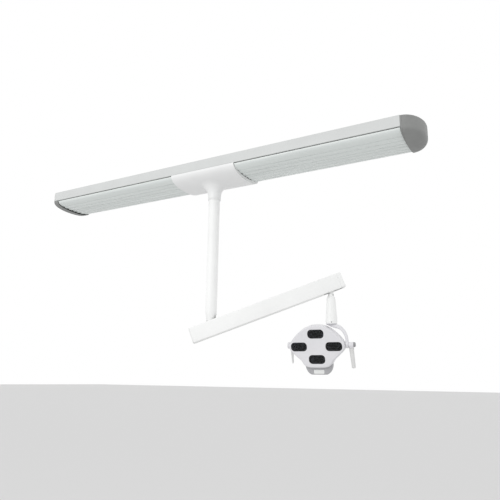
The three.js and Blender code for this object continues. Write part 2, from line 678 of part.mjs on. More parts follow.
function tiltShaft() {
  const shaft = rod('x', SHAFT_IN + 2, KNOB_IN - GAP, SPINDLE_R, [0, 0]);
  const flange = rod('x', SHAFT_IN, SHAFT_IN + 4, 12.5, [0, 0]);
  return join(shaft, flange);
}

function hubRight() {
  const drum = rod('x', HUB_IN, KNOB_IN - GAP, 14, [0, 0]);
  const socket = rod('z', -16, -4, 12, [GRIP_X, 0], 20);
  return cut(join(drum, socket), rod('x', 150, 220, SPINDLE_R + GAP, [0, 0]));
}

function grip(topR, lowR, length) {
  const points = [[0, 0], [topR, 0], [topR, -6], [(topR + lowR) / 2 + 0.6, -length / 2]];
  return turned([...points, [lowR, -length + 5], [lowR - 3, -length], [0, -length]], 20);
}

function hubLeft() {
  const [x, y] = GRIP_LEFT;
  const disc = rod('x', HUB_LEFT, -HEAD_HALF - GAP, 17, [0, 0]);
  const strap = box([HUB_LEFT, 6, -12], [HUB_LEFT + 7, y + 6, 10]);
  const lug = box([HUB_LEFT, y - 6, -20], [x + 8, y + 6, 6]);
  return join(disc, strap, lug);
}

place('rear_housing', rearHousing(), LILAC, head);
place('front_cover', frontCover(), LILAC, head);
for (const [name, x, z] of windowPlaces) {
  place(`lens_${name}`, lens(x, z), GLASS, head);
  place(`reflector_${name}`, reflectorCup(x, z), BRIGHT, head);
}
place('led_board', ledBoard(), DARK, head);
place('heat_sink', heatSink(), STEEL, head);
place('chin_pod', chinPod(), LILAC, head);
place('sensor_window', sensorWindow(), GLASS, head);
place('tilt_shaft', tiltShaft(), STEEL, head);
place('handle_hub_right', hubRight(), LILAC, head);
place('tilt_knob', rod('x', KNOB_IN, KNOB_OUT, 13, [0, 0], 20, 12), GREY, head);
const gripRight = place('handle_grip_right', grip(12.6, 10, 105), WHITE, head);
gripRight.position.set(GRIP_X, 0, -17.2);
gripRight.rotation.y = -3 * DEG;
place('handle_hub_left', hubLeft(), LILAC, head);
const gripLeft = place('handle_grip_left', grip(9, 4.6, 84), WHITE, head);
gripLeft.position.set(...GRIP_LEFT, -20 - GAP);

export default root;
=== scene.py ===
"""Looks of the ceiling-mounted surgical light: a long ambient-light bar, a down pole, a balanced arm,
a bottle-shaped stem with a one-sided yoke, and a lamp head with four dark windows.

Shapes are written in millimetres in the local frame of the body that they ride on, and placed in metres.
"""
import json
import math

import bmesh
import bpy
from mathutils import Matrix, Vector


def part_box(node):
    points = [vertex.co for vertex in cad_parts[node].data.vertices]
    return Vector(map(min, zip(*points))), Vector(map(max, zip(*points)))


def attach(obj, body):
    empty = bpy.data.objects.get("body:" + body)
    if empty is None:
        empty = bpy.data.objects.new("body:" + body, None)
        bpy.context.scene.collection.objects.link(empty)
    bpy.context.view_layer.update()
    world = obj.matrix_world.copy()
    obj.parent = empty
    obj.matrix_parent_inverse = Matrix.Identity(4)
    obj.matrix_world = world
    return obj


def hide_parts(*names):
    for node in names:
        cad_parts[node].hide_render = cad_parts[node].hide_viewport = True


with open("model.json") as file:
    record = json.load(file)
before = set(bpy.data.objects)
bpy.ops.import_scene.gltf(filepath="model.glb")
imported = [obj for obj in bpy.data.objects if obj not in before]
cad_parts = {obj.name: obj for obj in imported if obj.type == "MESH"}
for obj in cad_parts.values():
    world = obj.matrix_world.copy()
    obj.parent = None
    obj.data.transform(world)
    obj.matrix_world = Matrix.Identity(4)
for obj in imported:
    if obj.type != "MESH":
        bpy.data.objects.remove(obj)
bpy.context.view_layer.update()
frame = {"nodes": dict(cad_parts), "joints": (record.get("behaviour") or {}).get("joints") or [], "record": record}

MM = 0.001
TAU = 2 * math.pi
JOINTS = {joint["name"]: joint for joint in frame["joints"]}


# ---------------------------------------------------------------- local frames

def millimetre_frame(origin, x_axis, y_axis, z_axis):
    """A matrix from local millimetres to metres in the row frame."""
    axes = Matrix((x_axis, y_axis, z_axis)).transposed().to_4x4()
    return Matrix.Translation(origin) @ axes @ Matrix.Scale(MM, 4)


UP = Vector((0, 0, 1))
LIFT_PIN = Vector(JOINTS["arm_lift"]["pos_m"])
LEVEL_PIN = Vector(JOINTS["stem_level"]["pos_m"])
STEM_END = Vector(JOINTS["stem_turn"]["pos_m"])
TILT_MIDDLE = Vector(JOINTS["head_tilt"]["pos_m"])
HEAD_TILT = math.radians(12)

arm_along = (LEVEL_PIN - LIFT_PIN).normalized()
arm_across = -Vector(JOINTS["arm_lift"]["axis"]).normalized()
tilt_axis = Vector(JOINTS["head_tilt"]["axis"]).normalized()
stem_across = UP.cross(tilt_axis)
tilt_turn = Matrix.Rotation(HEAD_TILT, 3, tilt_axis)
stem_middle = Vector((STEM_END.x, STEM_END.y, TILT_MIDDLE.z))

PLACES = {
    "ceiling_unit": Matrix.Scale(MM, 4),
    "arm": millimetre_frame(LIFT_PIN, arm_along, arm_across, arm_along.cross(arm_across)),
    "stem": millimetre_frame(stem_middle, tilt_axis, stem_across, UP),
    "head": millimetre_frame(TILT_MIDDLE, tilt_axis, tilt_turn @ stem_across, tilt_turn @ UP),
}


# ---------------------------------------------------------------- driving dimensions, millimetres

GAP = 0.3
BAR_RIGHT = 1086.5
BAR_LEFT = 1163
LEFT_SKIRT = 30
LEFT_CAP_LENGTH = 27
COVER_HALF = 206.5
BAR_W = 281.4
STRIP_H = 57
WING_DROP = 92
WING_FULLNESS = 2.5
COVER_DROP = 112
COVER_FULLNESS = 2.3
CAP_LENGTH = 90
CAP_DROP = 100
NECK_BOTTOM = -190
NECK_R = 36
POLE_R = 31
POLE_END_R = 24.5
POLE_BOTTOM = -876
ARM_H = 84
ARM_W = 64
ARM_TAIL = 110
ARM_PIVOTS = (LEVEL_PIN - LIFT_PIN).length / MM
ARM_NOSE = 67
ARM_END = ARM_PIVOTS + ARM_NOSE
STEM_TOP = -722 - TILT_MIDDLE.z / MM
STEM_BOTTOM = (STEM_END.z - TILT_MIDDLE.z) / MM
STEM_R = 30.5
HEAD_SIDE = (stem_middle - TILT_MIDDLE).length / MM
HEAD_HALF = 150
FACE = 36
SPLIT = 15
HEAD_BACK = 50
WINDOW_W = 88
WINDOW_H = 47
WINDOW_R = 20
WINDOW_X = 94
WINDOW_Z = 66.5
WINDOW_MID = -4
WINDOWS = {
    "top": (0, WINDOW_MID + WINDOW_Z),
    "left": (-WINDOW_X, WINDOW_MID),
    "right": (WINDOW_X, WINDOW_MID),
    "bottom": (0, WINDOW_MID - WINDOW_Z),
}
YOKE_T = 14
YOKE_GAP = 1
SHAFT_BORE_R = 9.3
WELD = 1e-6


# ---------------------------------------------------------------- materials

def material(name, colour, roughness, *, metallic=0.0, shade=0.06, grain=60.0, grain_bump=0.0, patch=6.0,
             rough_spread=0.08, coat=0.0, subsurface=0.0, transmission=0.0, ior=1.5, stretch=(1, 1, 1),
             specular=0.5):
    """A procedural finish: broad tone patches, fine grain in roughness and bump, no flat colour."""
    mat = bpy.data.materials.new(name)
    mat.use_nodes = True
    tree = mat.node_tree
    nodes, links = tree.nodes, tree.links
    shader = nodes["Principled BSDF"]
    coords = nodes.new("ShaderNodeTexCoord")
    mapping = nodes.new("ShaderNodeMapping")
    mapping.inputs["Scale"].default_value = stretch
    links.new(coords.outputs["Object"], mapping.inputs["Vector"])

    broad = nodes.new("ShaderNodeTexNoise")
    broad.inputs["Scale"].default_value = patch
    broad.inputs["Detail"].default_value = 4
    fine = nodes.new("ShaderNodeTexNoise")
    fine.inputs["Scale"].default_value = grain
    fine.inputs["Detail"].default_value = 5
    for texture in (broad, fine):
        links.new(mapping.outputs["Vector"], texture.inputs["Vector"])

    tones = nodes.new("ShaderNodeValToRGB")
    tones.color_ramp.elements[0].position = 0.3
    tones.color_ramp.elements[1].position = 0.7
    tones.color_ramp.elements[0].color = (*[c * (1 - shade) for c in colour], 1)
    tones.color_ramp.elements[1].color = (*[min(1.0, c * (1 + shade * 0.5)) for c in colour], 1)
    links.new(broad.outputs["Fac"], tones.inputs["Fac"])
    links.new(tones.outputs["Color"], shader.inputs["Base Color"])

    gloss = nodes.new("ShaderNodeMapRange")
    gloss.inputs["To Min"].default_value = max(0.02, roughness - rough_spread)
    gloss.inputs["To Max"].default_value = min(1.0, roughness + rough_spread)
    links.new(fine.outputs["Fac"], gloss.inputs["Value"])
    links.new(gloss.outputs["Result"], shader.inputs["Roughness"])

    if grain_bump > 0:
        bump = nodes.new("ShaderNodeBump")
        bump.inputs["Strength"].default_value = grain_bump
        bump.inputs["Distance"].default_value = 0.0005
        links.new(fine.outputs["Fac"], bump.inputs["Height"])
        links.new(bump.outputs["Normal"], shader.inputs["Normal"])

    values = {"Metallic": metallic, "Specular IOR Level": specular, "Coat Weight": coat,
              "Coat Roughness": 0.15, "Transmission Weight": transmission, "IOR": ior}
    if subsurface > 0:
        values.update({"Subsurface Weight": subsurface, "Subsurface Radius": (0.01, 0.01, 0.01),
                       "Subsurface Scale": 0.3})
    for socket, value in values.items():
        shader.inputs[socket].default_value = value
    return mat


LOOKS = {
    "white_paint": dict(colour=(0.93, 0.935, 0.93), roughness=0.46, grain=900, grain_bump=0.12, shade=0.03,
        coat=0.08),
    # Painted shade: the chassis strip's white paint, drawn darker for the light that falls on the strip.
    "strip_painted_shade": dict(colour=(0.64, 0.655, 0.65), roughness=0.42, grain=900, grain_bump=0.12, shade=0.035,
        coat=0.2),
    "white_plastic": dict(colour=(0.88, 0.885, 0.885), roughness=0.42, grain=1400, grain_bump=0.10,
        shade=0.03),
    "tray_white": dict(colour=(0.85, 0.85, 0.85), roughness=0.3, grain=500, grain_bump=0.05),
    "cap_grey": dict(colour=(0.27, 0.275, 0.27), roughness=0.55, grain=1500, grain_bump=0.35, shade=0.08,
        patch=14),
    "diffuser_acrylic": dict(colour=(0.76, 0.80, 0.785), roughness=0.32, grain=300, grain_bump=0.05,
        shade=0.05, coat=0.3, patch=4, stretch=(0.3, 3, 3), subsurface=0.1),
    "lamp_glass": dict(colour=(0.9, 0.9, 0.88), roughness=0.25, grain=250, grain_bump=0.03),
    "head_plastic": dict(colour=(0.76, 0.755, 0.78), roughness=0.40, grain=1600, grain_bump=0.10,
        shade=0.035, patch=9, coat=0.15),
    # Painted shade: the head plastic, drawn much darker on the chin for the shade on its curved flanks.
    "chin_painted_shade": dict(colour=(0.44, 0.44, 0.455), roughness=0.42, grain=1600, grain_bump=0.10,
        shade=0.035, patch=9, coat=0.1),
    "grip_plastic": dict(colour=(0.74, 0.74, 0.735), roughness=0.48, grain=1300, grain_bump=0.25,
        shade=0.05),
    "lens_black": dict(colour=(0.30, 0.305, 0.34), roughness=0.05, grain=40, rough_spread=0.02,
        transmission=1.0, ior=1.35, shade=0.2, specular=0.25),
    "sensor_lens": dict(colour=(0.88, 0.89, 0.88), roughness=0.22, grain=700, grain_bump=0.04, coat=0.4),
    "reflector_metal": dict(colour=(0.55, 0.56, 0.58), roughness=0.12, metallic=1.0, grain=200,
        rough_spread=0.05),
    "steel": dict(colour=(0.50, 0.505, 0.51), roughness=0.34, metallic=1.0, grain=220, grain_bump=0.08,
        stretch=(1, 1, 6)),
    "housing_steel": dict(colour=(0.55, 0.56, 0.56), roughness=0.45, metallic=0.4, grain=400,
        grain_bump=0.06),
    "spring_steel": dict(colour=(0.16, 0.165, 0.17), roughness=0.36, metallic=1.0, grain=300,
        grain_bump=0.05),
    "bearing_polymer": dict(colour=(0.05, 0.05, 0.055), roughness=0.5, grain=600, grain_bump=0.1),
    "led_board": dict(colour=(0.03, 0.055, 0.04), roughness=0.4, grain=250, grain_bump=0.2, shade=0.3,
        patch=60),
    "heat_sink": dict(colour=(0.42, 0.43, 0.44), roughness=0.42, metallic=1.0, grain=260, grain_bump=0.1,
        stretch=(1, 1, 8)),
    "knob_grey": dict(colour=(0.30, 0.30, 0.31), roughness=0.5, grain=1200, grain_bump=0.25, shade=0.08),
}
FINISH = {name: material(name, **look) for name, look in LOOKS.items()}


# ---------------------------------------------------------------- mesh helpers

class Surface:
    """Vertices and faces in local millimetres."""

    def __init__(self):
        self.verts = []
        self.faces = []

    def ring(self, points):
        start = len(self.verts)
        self.verts.extend(points)
        return list(range(start, start + len(points)))

    def bridge(self, a, b, closed=True):
        count = len(a)
        for i in range(count if closed else count - 1):
            j = (i + 1) % count
            self.faces.append((a[i], a[j], b[j], b[i]))

    def cap(self, ring):
        self.faces.append(tuple(ring))

    def loft(self, rings, closed=True, start=False, end=False):
        """Bridges rings of points in order, caps the ends asked for and returns the last ring."""
        before = None
        for points in rings:
            ring = self.ring(points)
            if before:
                self.bridge(before, ring, closed)
            elif start:
                self.cap(ring[::-1])
            before = ring
        if end:
            self.cap(before)
        return before

    def add(self, other):
        shift = len(self.verts)
        self.verts.extend(other.verts)
        self.faces.extend(tuple(i + shift for i in face) for face in other.faces)
        return self


def lofted(rings, **ends):
    surface = Surface()
    surface.loft(rings, **ends)
    return surface


def mesh_object(name, surface, place):
    """A welded object in the scene whose faces all look outwards."""
    mesh = bpy.data.meshes.new(name)
    mesh.from_pydata([place @ Vector(v) for v in surface.verts], [], surface.faces)
    work = bmesh.new()
    work.from_mesh(mesh)
    bmesh.ops.remove_doubles(work, verts=work.verts, dist=WELD)
    bmesh.ops.recalc_face_normals(work, faces=work.faces)
    work.to_mesh(mesh)
    work.free()
    obj = bpy.data.objects.new(name, mesh)
    bpy.context.scene.collection.objects.link(obj)
    return obj


def make(name, surface, body, slot, *, place=None, replaces=(), finish=None, smooth=40, bevel=0.0, solid=0.0,
         joins=(), cutters=()):
    """Turns a surface into a piece on its body. bevel and solid are in millimetres."""
    if place is None:
        place = PLACES[body]
    obj = mesh_object(name, surface, place)
    if solid:
        add_solid(obj, solid)
    for tool in joins:
        combine(obj, tool, place, "UNION")
    for tool in cutters:
        combine(obj, tool, place, "DIFFERENCE")
    if joins or cutters:
        bake_modifiers(obj)
    if bevel:
        add_bevel(obj, bevel)
    obj.data.shade_smooth()
    obj.data.set_sharp_from_angle(angle=math.radians(smooth))
    obj.data.materials.append(FINISH[finish or slot])
    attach(obj, body)
    if replaces:
        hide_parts(*replaces)
    return obj


def add_solid(obj, thickness):
    solidify = obj.modifiers.new("wall", "SOLIDIFY")
    solidify.thickness = thickness * MM
    solidify.offset = -1


def add_bevel(obj, width):
    bevel = obj.modifiers.new("edges", "BEVEL")
    bevel.width = width * MM
    bevel.segments = 3
    bevel.limit_method = "ANGLE"
    bevel.angle_limit = math.radians(35)
    bevel.harden_normals = False


def combine(obj, surface, place, operation):
    """Joins another closed surface to obj, or cuts it away."""
    boolean = obj.modifiers.new("combine", "BOOLEAN")
    boolean.operation = operation
    boolean.solver = "EXACT"
    boolean.object = mesh_object("cutter", surface, place)


def bake_modifiers(obj):
    """Applies the modifiers so far and removes the cutters that they used."""
    tools = [m.object for m in obj.modifiers if m.type == "BOOLEAN"]
    bpy.context.view_layer.update()
    evaluated = obj.evaluated_get(bpy.context.evaluated_depsgraph_get())
    mesh = bpy.data.meshes.new_from_object(evaluated)
    obj.modifiers.clear()
    obj.data = mesh
    for tool in tools:
        bpy.data.objects.remove(tool)


def polar(radius, angle):
    return radius * math.cos(angle), radius * math.sin(angle)


def lathe(profile, steps=96):
    """A turned surface about Z from (radius, z) points."""
    surface = Surface()
    before = None
    for radius, z in profile:
        if radius < WELD:
            ring = surface.ring([(0, 0, z)]) * steps
        else:
            ring = surface.ring([(*polar(radius, TAU * i / steps), z) for i in range(steps)])
        if before is not None:
            for i in range(steps):
                j = (i + 1) % steps
                corners = tuple(dict.fromkeys((before[i], before[j], ring[j], ring[i])))
                if len(corners) > 2:
                    surface.faces.append(corners)
        before = ring
    return surface


def turned_to(surface, axis):
    """A surface turned about Z, laid along X or Y instead."""
    if axis == "x":
        surface.verts = [(z, x, y) for x, y, z in surface.verts]
    else:
        surface.verts = [(y, z, x) for x, y, z in surface.verts]
    return surface


def moved(surface, offset):
    surface.verts = [tuple(a + b for a, b in zip(v, offset)) for v in surface.verts]
    return surface


def round_corner(profile, index, radius, steps=5):
    """Replaces one corner of an open (r, z) profile by an arc-like curve."""
    corner = Vector(profile[index])
    before = Vector(profile[index - 1]) - corner
    after = Vector(profile[index + 1]) - corner
    start = corner + before.normalized() * min(radius, before.length * 0.49)
    end = corner + after.normalized() * min(radius, after.length * 0.49)
    curve = []
    for i in range(steps + 1):
        t = i / steps
        curve.append(tuple((1 - t) ** 2 * start + 2 * t * (1 - t) * corner + t * t * end))
    return profile[:index] + curve + profile[index + 1:]


def soft_profile(points):
    """(r, z) points with an optional third value, the radius that rounds the corner."""
    profile = [tuple(p[:2]) for p in points]
    for index in range(len(points) - 2, 0, -1):
        if len(points[index]) > 2:
            profile = round_corner(profile, index, points[index][2])
    return profile


def prism(outline, start, end, axis="x"):
    """A closed outline run along an axis: (y, z) along X, (x, z) along Y or (x, y) along Z."""
    place = "xyz".index(axis)
    surface = Surface()
    first = surface.ring([(*pair[:place], start, *pair[place:]) for pair in outline])
    last = surface.ring([(*pair[:place], end, *pair[place:]) for pair in outline])
    surface.bridge(first, last)
    surface.cap(first[::-1])
    surface.cap(last)
    return surface


def block(low, high):
    (x0, y0, z0), (x1, y1, z1) = low, high
    return prism([(y0, z0), (y1, z0), (y1, z1), (y0, z1)], x0, x1)


def round_rect(width, height, radius, centre=(0, 0), steps=10):
    points = []
    for corner, (sx, sz) in enumerate(((1, 1), (-1, 1), (-1, -1), (1, -1))):
        for i in range(steps + 1):
            angle = (corner + i / steps) * math.pi / 2
            points.append((centre[0] + sx * (width / 2 - radius) + radius * math.cos(angle),
                           centre[1] + sz * (height / 2 - radius) + radius * math.sin(angle)))
    return points


def inset(outline, distance):
    """A closed outline moved inwards by a distance; it runs anticlockwise."""
    count = len(outline)
    moved_points = []
    for i in range(count):
        ax, az = outline[i - 1]
        bx, bz = outline[(i + 1) % count]
        dx, dz = bx - ax, bz - az
        length = math.hypot(dx, dz) or 1.0
        x, z = outline[i]
        moved_points.append((x - distance * dz / length, z + distance * dx / length))
    return moved_points


def standing(outline, y):
    """A closed (x, z) outline as points at one depth."""
    return [(x, y, z) for x, z in outline]


def rounded_plate(outline, y0, y1, radius, steps=6):
    """A plate in the XZ plane from y0 to y1 with both rims rounded."""
    turns = [math.pi / 2 * i / steps for i in range(steps + 1)]
    rims = [(radius * (1 - math.sin(a)), y0 + radius * (1 - math.cos(a))) for a in turns]
    rims += [(radius * (1 - math.cos(a)), y1 - radius * (1 - math.sin(a))) for a in turns]
    return lofted([standing(inset(outline, distance), y) for distance, y in rims], start=True, end=True)


def bow(half, z_side, z_low, fullness, steps=96):
    """Points across Y of a bow that hangs from z_side at its edges to z_low in the middle."""
    points = []
    for i in range(steps + 1):
        angle = math.pi * (i / steps - 0.5)
        y = half * math.copysign(abs(math.sin(angle)) ** (2 / fullness), angle)
        points.append((y, z_side - (z_side - z_low) * abs(math.cos(angle)) ** (2 / fullness)))
    return points


def trough(outer, inner, x0, x1):
    """A bent sheet along X between two open (y, z) lines of equal length, closed on every side."""
    surface = Surface()
    lines = [surface.ring([(x, y, z) for y, z in line]) for x in (x0, x1) for line in (outer, inner)]
    outer_0, inner_0, outer_1, inner_1 = lines
    for a, b in ((outer_0, outer_1), (inner_1, inner_0), (inner_0, outer_0), (outer_1, inner_1)):
        surface.bridge(a, b, closed=False)
    for end in (0, -1):
        surface.cap([outer_0[end], outer_1[end], inner_1[end], inner_0[end]])
    return surface


def spline(points, steps=8):
    """A smooth open line through the points (a uniform Catmull-Rom curve)."""
    line = []
    padded = [points[0], *points, points[-1]]
    for i in range(1, len(padded) - 2):
        p0, p1, p2, p3 = (Vector(p) for p in padded[i - 1:i + 3])
        for k in range(steps):
            t = k / steps
            line.append(tuple(0.5 * (2 * p1 + (p2 - p0) * t + (2 * p0 - 5 * p1 + 4 * p2 - p3) * t * t
                                     + (3 * p1 - p0 - 3 * p2 + p3) * t ** 3)))
    line.append(tuple(points[-1]))
    return line


def screw_head(radius, height, steps=32):
    """A domed screw head with a round, tapering socket, about Z, its underside at 0."""
    head = lathe(soft_profile([(radius, 0), (radius, height * 0.5, height * 0.4), (radius * 0.62, height),
                               (radius * 0.5, height)]), steps)
    top = len(head.verts) - steps
    wall = [polar(radius * 0.5, TAU * i / steps) for i in range(steps)]
    floor = head.ring([(x * 0.94, y * 0.94, height * 0.35) for x, y in wall])
    head.bridge(list(range(top, top + steps)), floor)
    head.cap(floor)
    head.cap(list(range(steps))[::-1])
    return head


def oriented(surface, origin, normal):
    """Moves a surface built about Z so that its Z runs along normal from origin."""
    turn = Vector(normal).to_track_quat("Z", "Y").to_matrix()
    surface.verts = [tuple(turn @ Vector(v) + Vector(origin)) for v in surface.verts]
    return surface


def hollow_profile(outer, inner):
    """A closed ring profile for lathe from two [radius, z] lines that both run downwards."""
    loop = [*outer, *reversed(inner)]
    return [*loop, loop[0]]


def swapped(surface):
    """A surface built with its thickness along Y, turned so that the thickness runs along X."""
    surface.verts = [(y, x, z) for x, y, z in surface.verts]
    return surface


def cylinder(radius, start, end, axis="z", at=(0, 0), rim=0.0, steps=64):
    """A solid drum along an axis with rounded rims, at the two other coordinates."""
    low, high = min(start, end), max(start, end)
    corners = [(0, low), (radius, low, rim), (radius, high, rim), (0, high)]
    drum = lathe(soft_profile(corners) if rim else [corner[:2] for corner in corners], steps)
    if axis == "z":
        return moved(drum, (*at, 0))
    return moved(turned_to(drum, axis), (0, *at) if axis == "x" else (at[0], 0, at[1]))


def shaft_bore(start, end):
    """The cutter that clears the tilt shaft."""
    return cylinder(SHAFT_BORE_R, start, end, "x", steps=48)


# ---------------------------------------------------------------- ceiling bar

BEND = 3
LIP = 9
SHEET = 2
SUPPLY_R = 16
SUPPLY_AT = (62, 0)
DRILL = (-20, 10)
KEYHOLES_X = (-900, -350, 350, 900)
KEYHOLE_Y = 80
KEYHOLE_R = 7


def chassis():
    """The folded sheet tray: rounded bends, inward lips, keyholes and a supply hole in its back."""
    w = BAR_W / 2
    half = [(w - LIP, -STRIP_H), (w - BEND, -STRIP_H)]
    for centre_z, first in ((-STRIP_H + BEND, -90), (-BEND, 0)):
        for step in range(7):
            angle = math.radians(first + 15 * step)
            half.append((w - BEND + BEND * math.cos(angle), centre_z + BEND * math.sin(angle)))
    outer = [*half, *[(-y, z) for y, z in reversed(half)]]
    wall, lip_top = w - SHEET, -STRIP_H + SHEET
    inner = [(math.copysign(min(abs(y), wall), y), min(max(z, lip_top), -SHEET)) for y, z in outer]
    holes = [cylinder(SUPPLY_R, *DRILL, at=SUPPLY_AT)]
    for x in KEYHOLES_X:
        for y in (-KEYHOLE_Y, KEYHOLE_Y):
            holes.append(cylinder(KEYHOLE_R, *DRILL, at=(x, y), steps=32))
            holes.append(prism(round_rect(24, 7, 3.4, (x + 12, y)), *DRILL, "z"))
    # The tray's white paint is drawn darker here: painted shade on the strip.
    make("chassis_tray", trough(outer, inner, -BAR_LEFT, BAR_RIGHT), "ceiling_unit", "white_paint",
         replaces=["chassis"], finish="strip_painted_shade", cutters=holes)


CAP_CORNER = 9
CAP_GROOVE = 8
CAP_GROOVE_DEPTH = 0.8
CAP_WALL = 3


def end_cap(name, side, seam, length, skirt):
    """Half of a turned bowl, squeezed along X, with a fine groove beside its seam.

    A skirt above zero carries the bowl's edge on under the strip, towards the diffuser.
    """
    rim = BAR_W / 2
    reach = length - GAP
    bowl = [(y, z) for y, z in bow(rim, -STRIP_H, -CAP_DROP, WING_FULLNESS, 64) if y > -1e-6]
    profile = [(0, 0), (rim * 0.5, 0), (rim - CAP_CORNER, 0)]
    profile += [(rim - CAP_CORNER + CAP_CORNER * math.sin(a), -CAP_CORNER + CAP_CORNER * math.cos(a))
                for a in (math.radians(15 * k) for k in range(1, 7))]
    profile += [(rim, -STRIP_H * 0.6), *reversed(bowl)]
    angles = [math.asin(x / reach) for x in (0, *[CAP_GROOVE + step for step in (-1.2, -0.6, 0, 0.6, 1.2)])]
    angles += [angles[-1] + (math.pi / 2 - angles[-1]) * k / 40 for k in range(1, 41)]
    turns = [math.pi / 2 - a for a in angles]
    turns += [-t for t in reversed(turns[:-1])]
    columns = []
    for turn in turns:
        x_share, y_share = math.cos(turn), math.sin(turn)
        sunk = CAP_GROOVE_DEPTH if abs(x_share * reach - CAP_GROOVE) < 0.1 else 0
        columns.append([
            (side * (seam + GAP + r * (reach / rim) * x_share), (r - sunk * (r > 1)) * y_share,
             z + sunk * (z < -STRIP_H))
            for r, z in profile
        ])
    make(name + "_shell", lofted(columns, closed=False), "ceiling_unit", "cap_grey", replaces=[name],
         solid=CAP_WALL, smooth=50)
    for label, y in (("front", -52), ("rear", 52)):
        depth = length * math.sqrt(1 - (y / rim) ** 2)
        screw = oriented(screw_head(4.2, 2.2), (side * (seam + depth - 2.5), y, -30), (side, y / length, 0))
        make(f"{name}_screw_{label}", screw, "ceiling_unit", "steel")
    if skirt:
        outer, inner = (bow(rim - wall, -STRIP_H - GAP, -CAP_DROP + wall, WING_FULLNESS, 72)
                        for wall in (0, CAP_WALL))
        make(name + "_skirt", trough(outer, inner, side * (seam - skirt), side * seam), "ceiling_unit",
             "cap_grey", bevel=0.8)


def wing_end(side):
    """Where a diffuser ends, from the pole's axis."""
    return BAR_LEFT - LEFT_SKIRT if side < 0 else BAR_RIGHT


GROOVES = 13
FLUTE_PITCH = 37.5
FLUTE_EDGE = GROOVES + 2 * FLUTE_PITCH
FLUTE_DEPTH = 7
RIB_PITCH = 3.1
RIB_DEPTH = 0.22


def flute(y):
    """How far the diffuser's surface is drawn up between its convex flutes."""
    y = abs(y)
    if y > FLUTE_EDGE:
        return FLUTE_DEPTH * max(0.0, 1 - (y - FLUTE_EDGE) / 9) ** 3
    if y < GROOVES:
        share = y / GROOVES
    else:
        share = abs((y - GROOVES) / FLUTE_PITCH % 1 - 0.5) * 2
    return FLUTE_DEPTH * share ** 4


def diffuser(name, side):
    """A fluted and finely ribbed acrylic trough with smooth quarter-round bands at its sides."""
    half, z_side, wall = BAR_W / 2 - 5.5, -STRIP_H - 3.5, 2.5
    outer = []
    inner = []
    for y, z in bow(half, z_side, -WING_DROP, WING_FULLNESS, 760):
        rib = RIB_DEPTH * abs(math.sin(math.pi * y / RIB_PITCH)) if abs(y) < FLUTE_EDGE else 0
        outer.append((y, z + flute(y) + rib))
        inner.append((y * (half - wall) / half, min(z_side, z + wall + 1 + flute(y))))
    near, far = COVER_HALF + 1, wing_end(side) - 1.5
    make(name + "_sheet", trough(outer, inner, side * near, side * far), "ceiling_unit", "diffuser_acrylic",
         replaces=[name], smooth=62)


NECK_FLARE = 44
NECK_POWER = 3.2
FLARE_TOP = -COVER_DROP + 8
BLEND = 9
COVER_AROUND = 192
COVER_BANDS = 30
ROUND_EDGE = 118


def cover_height(x, y):
    """Height of the cover's skin, run smoothly into the flared neck."""
    across = min(1.0, abs(y) / (BAR_W / 2))
    side = -STRIP_H - GAP
    skin = side - (COVER_DROP + side) * (1 - across ** COVER_FULLNESS) ** (1 / COVER_FULLNESS)
    radius = math.hypot(x, y)
    if radius < NECK_R + NECK_FLARE:
        share = max(0.0, (radius - NECK_R) / NECK_FLARE)
        neck = NECK_BOTTOM + (FLARE_TOP - NECK_BOTTOM) * share ** (1 / NECK_POWER)
    else:
        neck = FLARE_TOP + (radius - NECK_R - NECK_FLARE) * 2.5
    near = max(BLEND - abs(skin - neck), 0.0) / BLEND
    return min(skin, neck) - near * near * BLEND / 4


def centre_cover():
    """The skin is a grid that runs from the neck's round mouth to the cover's oblong edge."""
    half = BAR_W / 2
    turns = [TAU * i / COVER_AROUND for i in range(COVER_AROUND)]
    radii = [NECK_R + NECK_FLARE * (1 - t) ** NECK_POWER for t in (1 - k / 20 for k in range(21))]
    radii += [radii[-1] + (ROUND_EDGE - radii[-1]) * k / 10 for k in range(1, 11)]
    rings = [[(*polar(radius, a), cover_height(*polar(radius, a))) for a in turns] for radius in radii]

    def slant(y):
        return math.copysign(math.asin(min(1.0, (abs(y) / half) ** (COVER_FULLNESS / 2))), y)

    for band in range(1, COVER_BANDS + 1):
        share = band / COVER_BANDS
        points = []
        for a in turns:
            c, s = math.cos(a), math.sin(a)
            edge = max(abs(c), abs(s))
            x = (1 - share) * ROUND_EDGE * c + share * COVER_HALF * c / edge
            turn = (1 - share) * slant(ROUND_EDGE * s) + share * math.pi / 2 * s / edge
            y = half * math.copysign(abs(math.sin(turn)) ** (2 / COVER_FULLNESS), turn)
            z = cover_height(x, y) if abs(y) < half - 0.001 else -STRIP_H - GAP
            points.append((x, y, z))
        rings.append(points)
    make("centre_cover_skin", lofted(rings), "ceiling_unit", "white_plastic", replaces=["centre_cover"],
         solid=2.5, bevel=0.8, smooth=50)
    lip, inner = (bow(half - wall, -STRIP_H - GAP, -COVER_DROP + wall, COVER_FULLNESS, 72)
                  for wall in (1.2, 19))
    for name, side in (("left", -1), ("right", 1)):
        sheet = trough(lip, inner, side * (COVER_HALF - 0.6), side * (COVER_HALF - 4))
        make(f"centre_cover_lip_{name}", sheet, "ceiling_unit", "white_plastic")
        screw = oriented(screw_head(3.4, 1.6), (side * (COVER_HALF - 22), half - 1.6, -STRIP_H - 13),
                         (0, 1, -0.2))
        make(f"cover_screw_{name}", screw, "ceiling_unit", "steel")


TAPER_TOP = -832
TAPER_LOW = -866
POLE_BORE_R = 28
POLE_END_BORE_R = 20.8


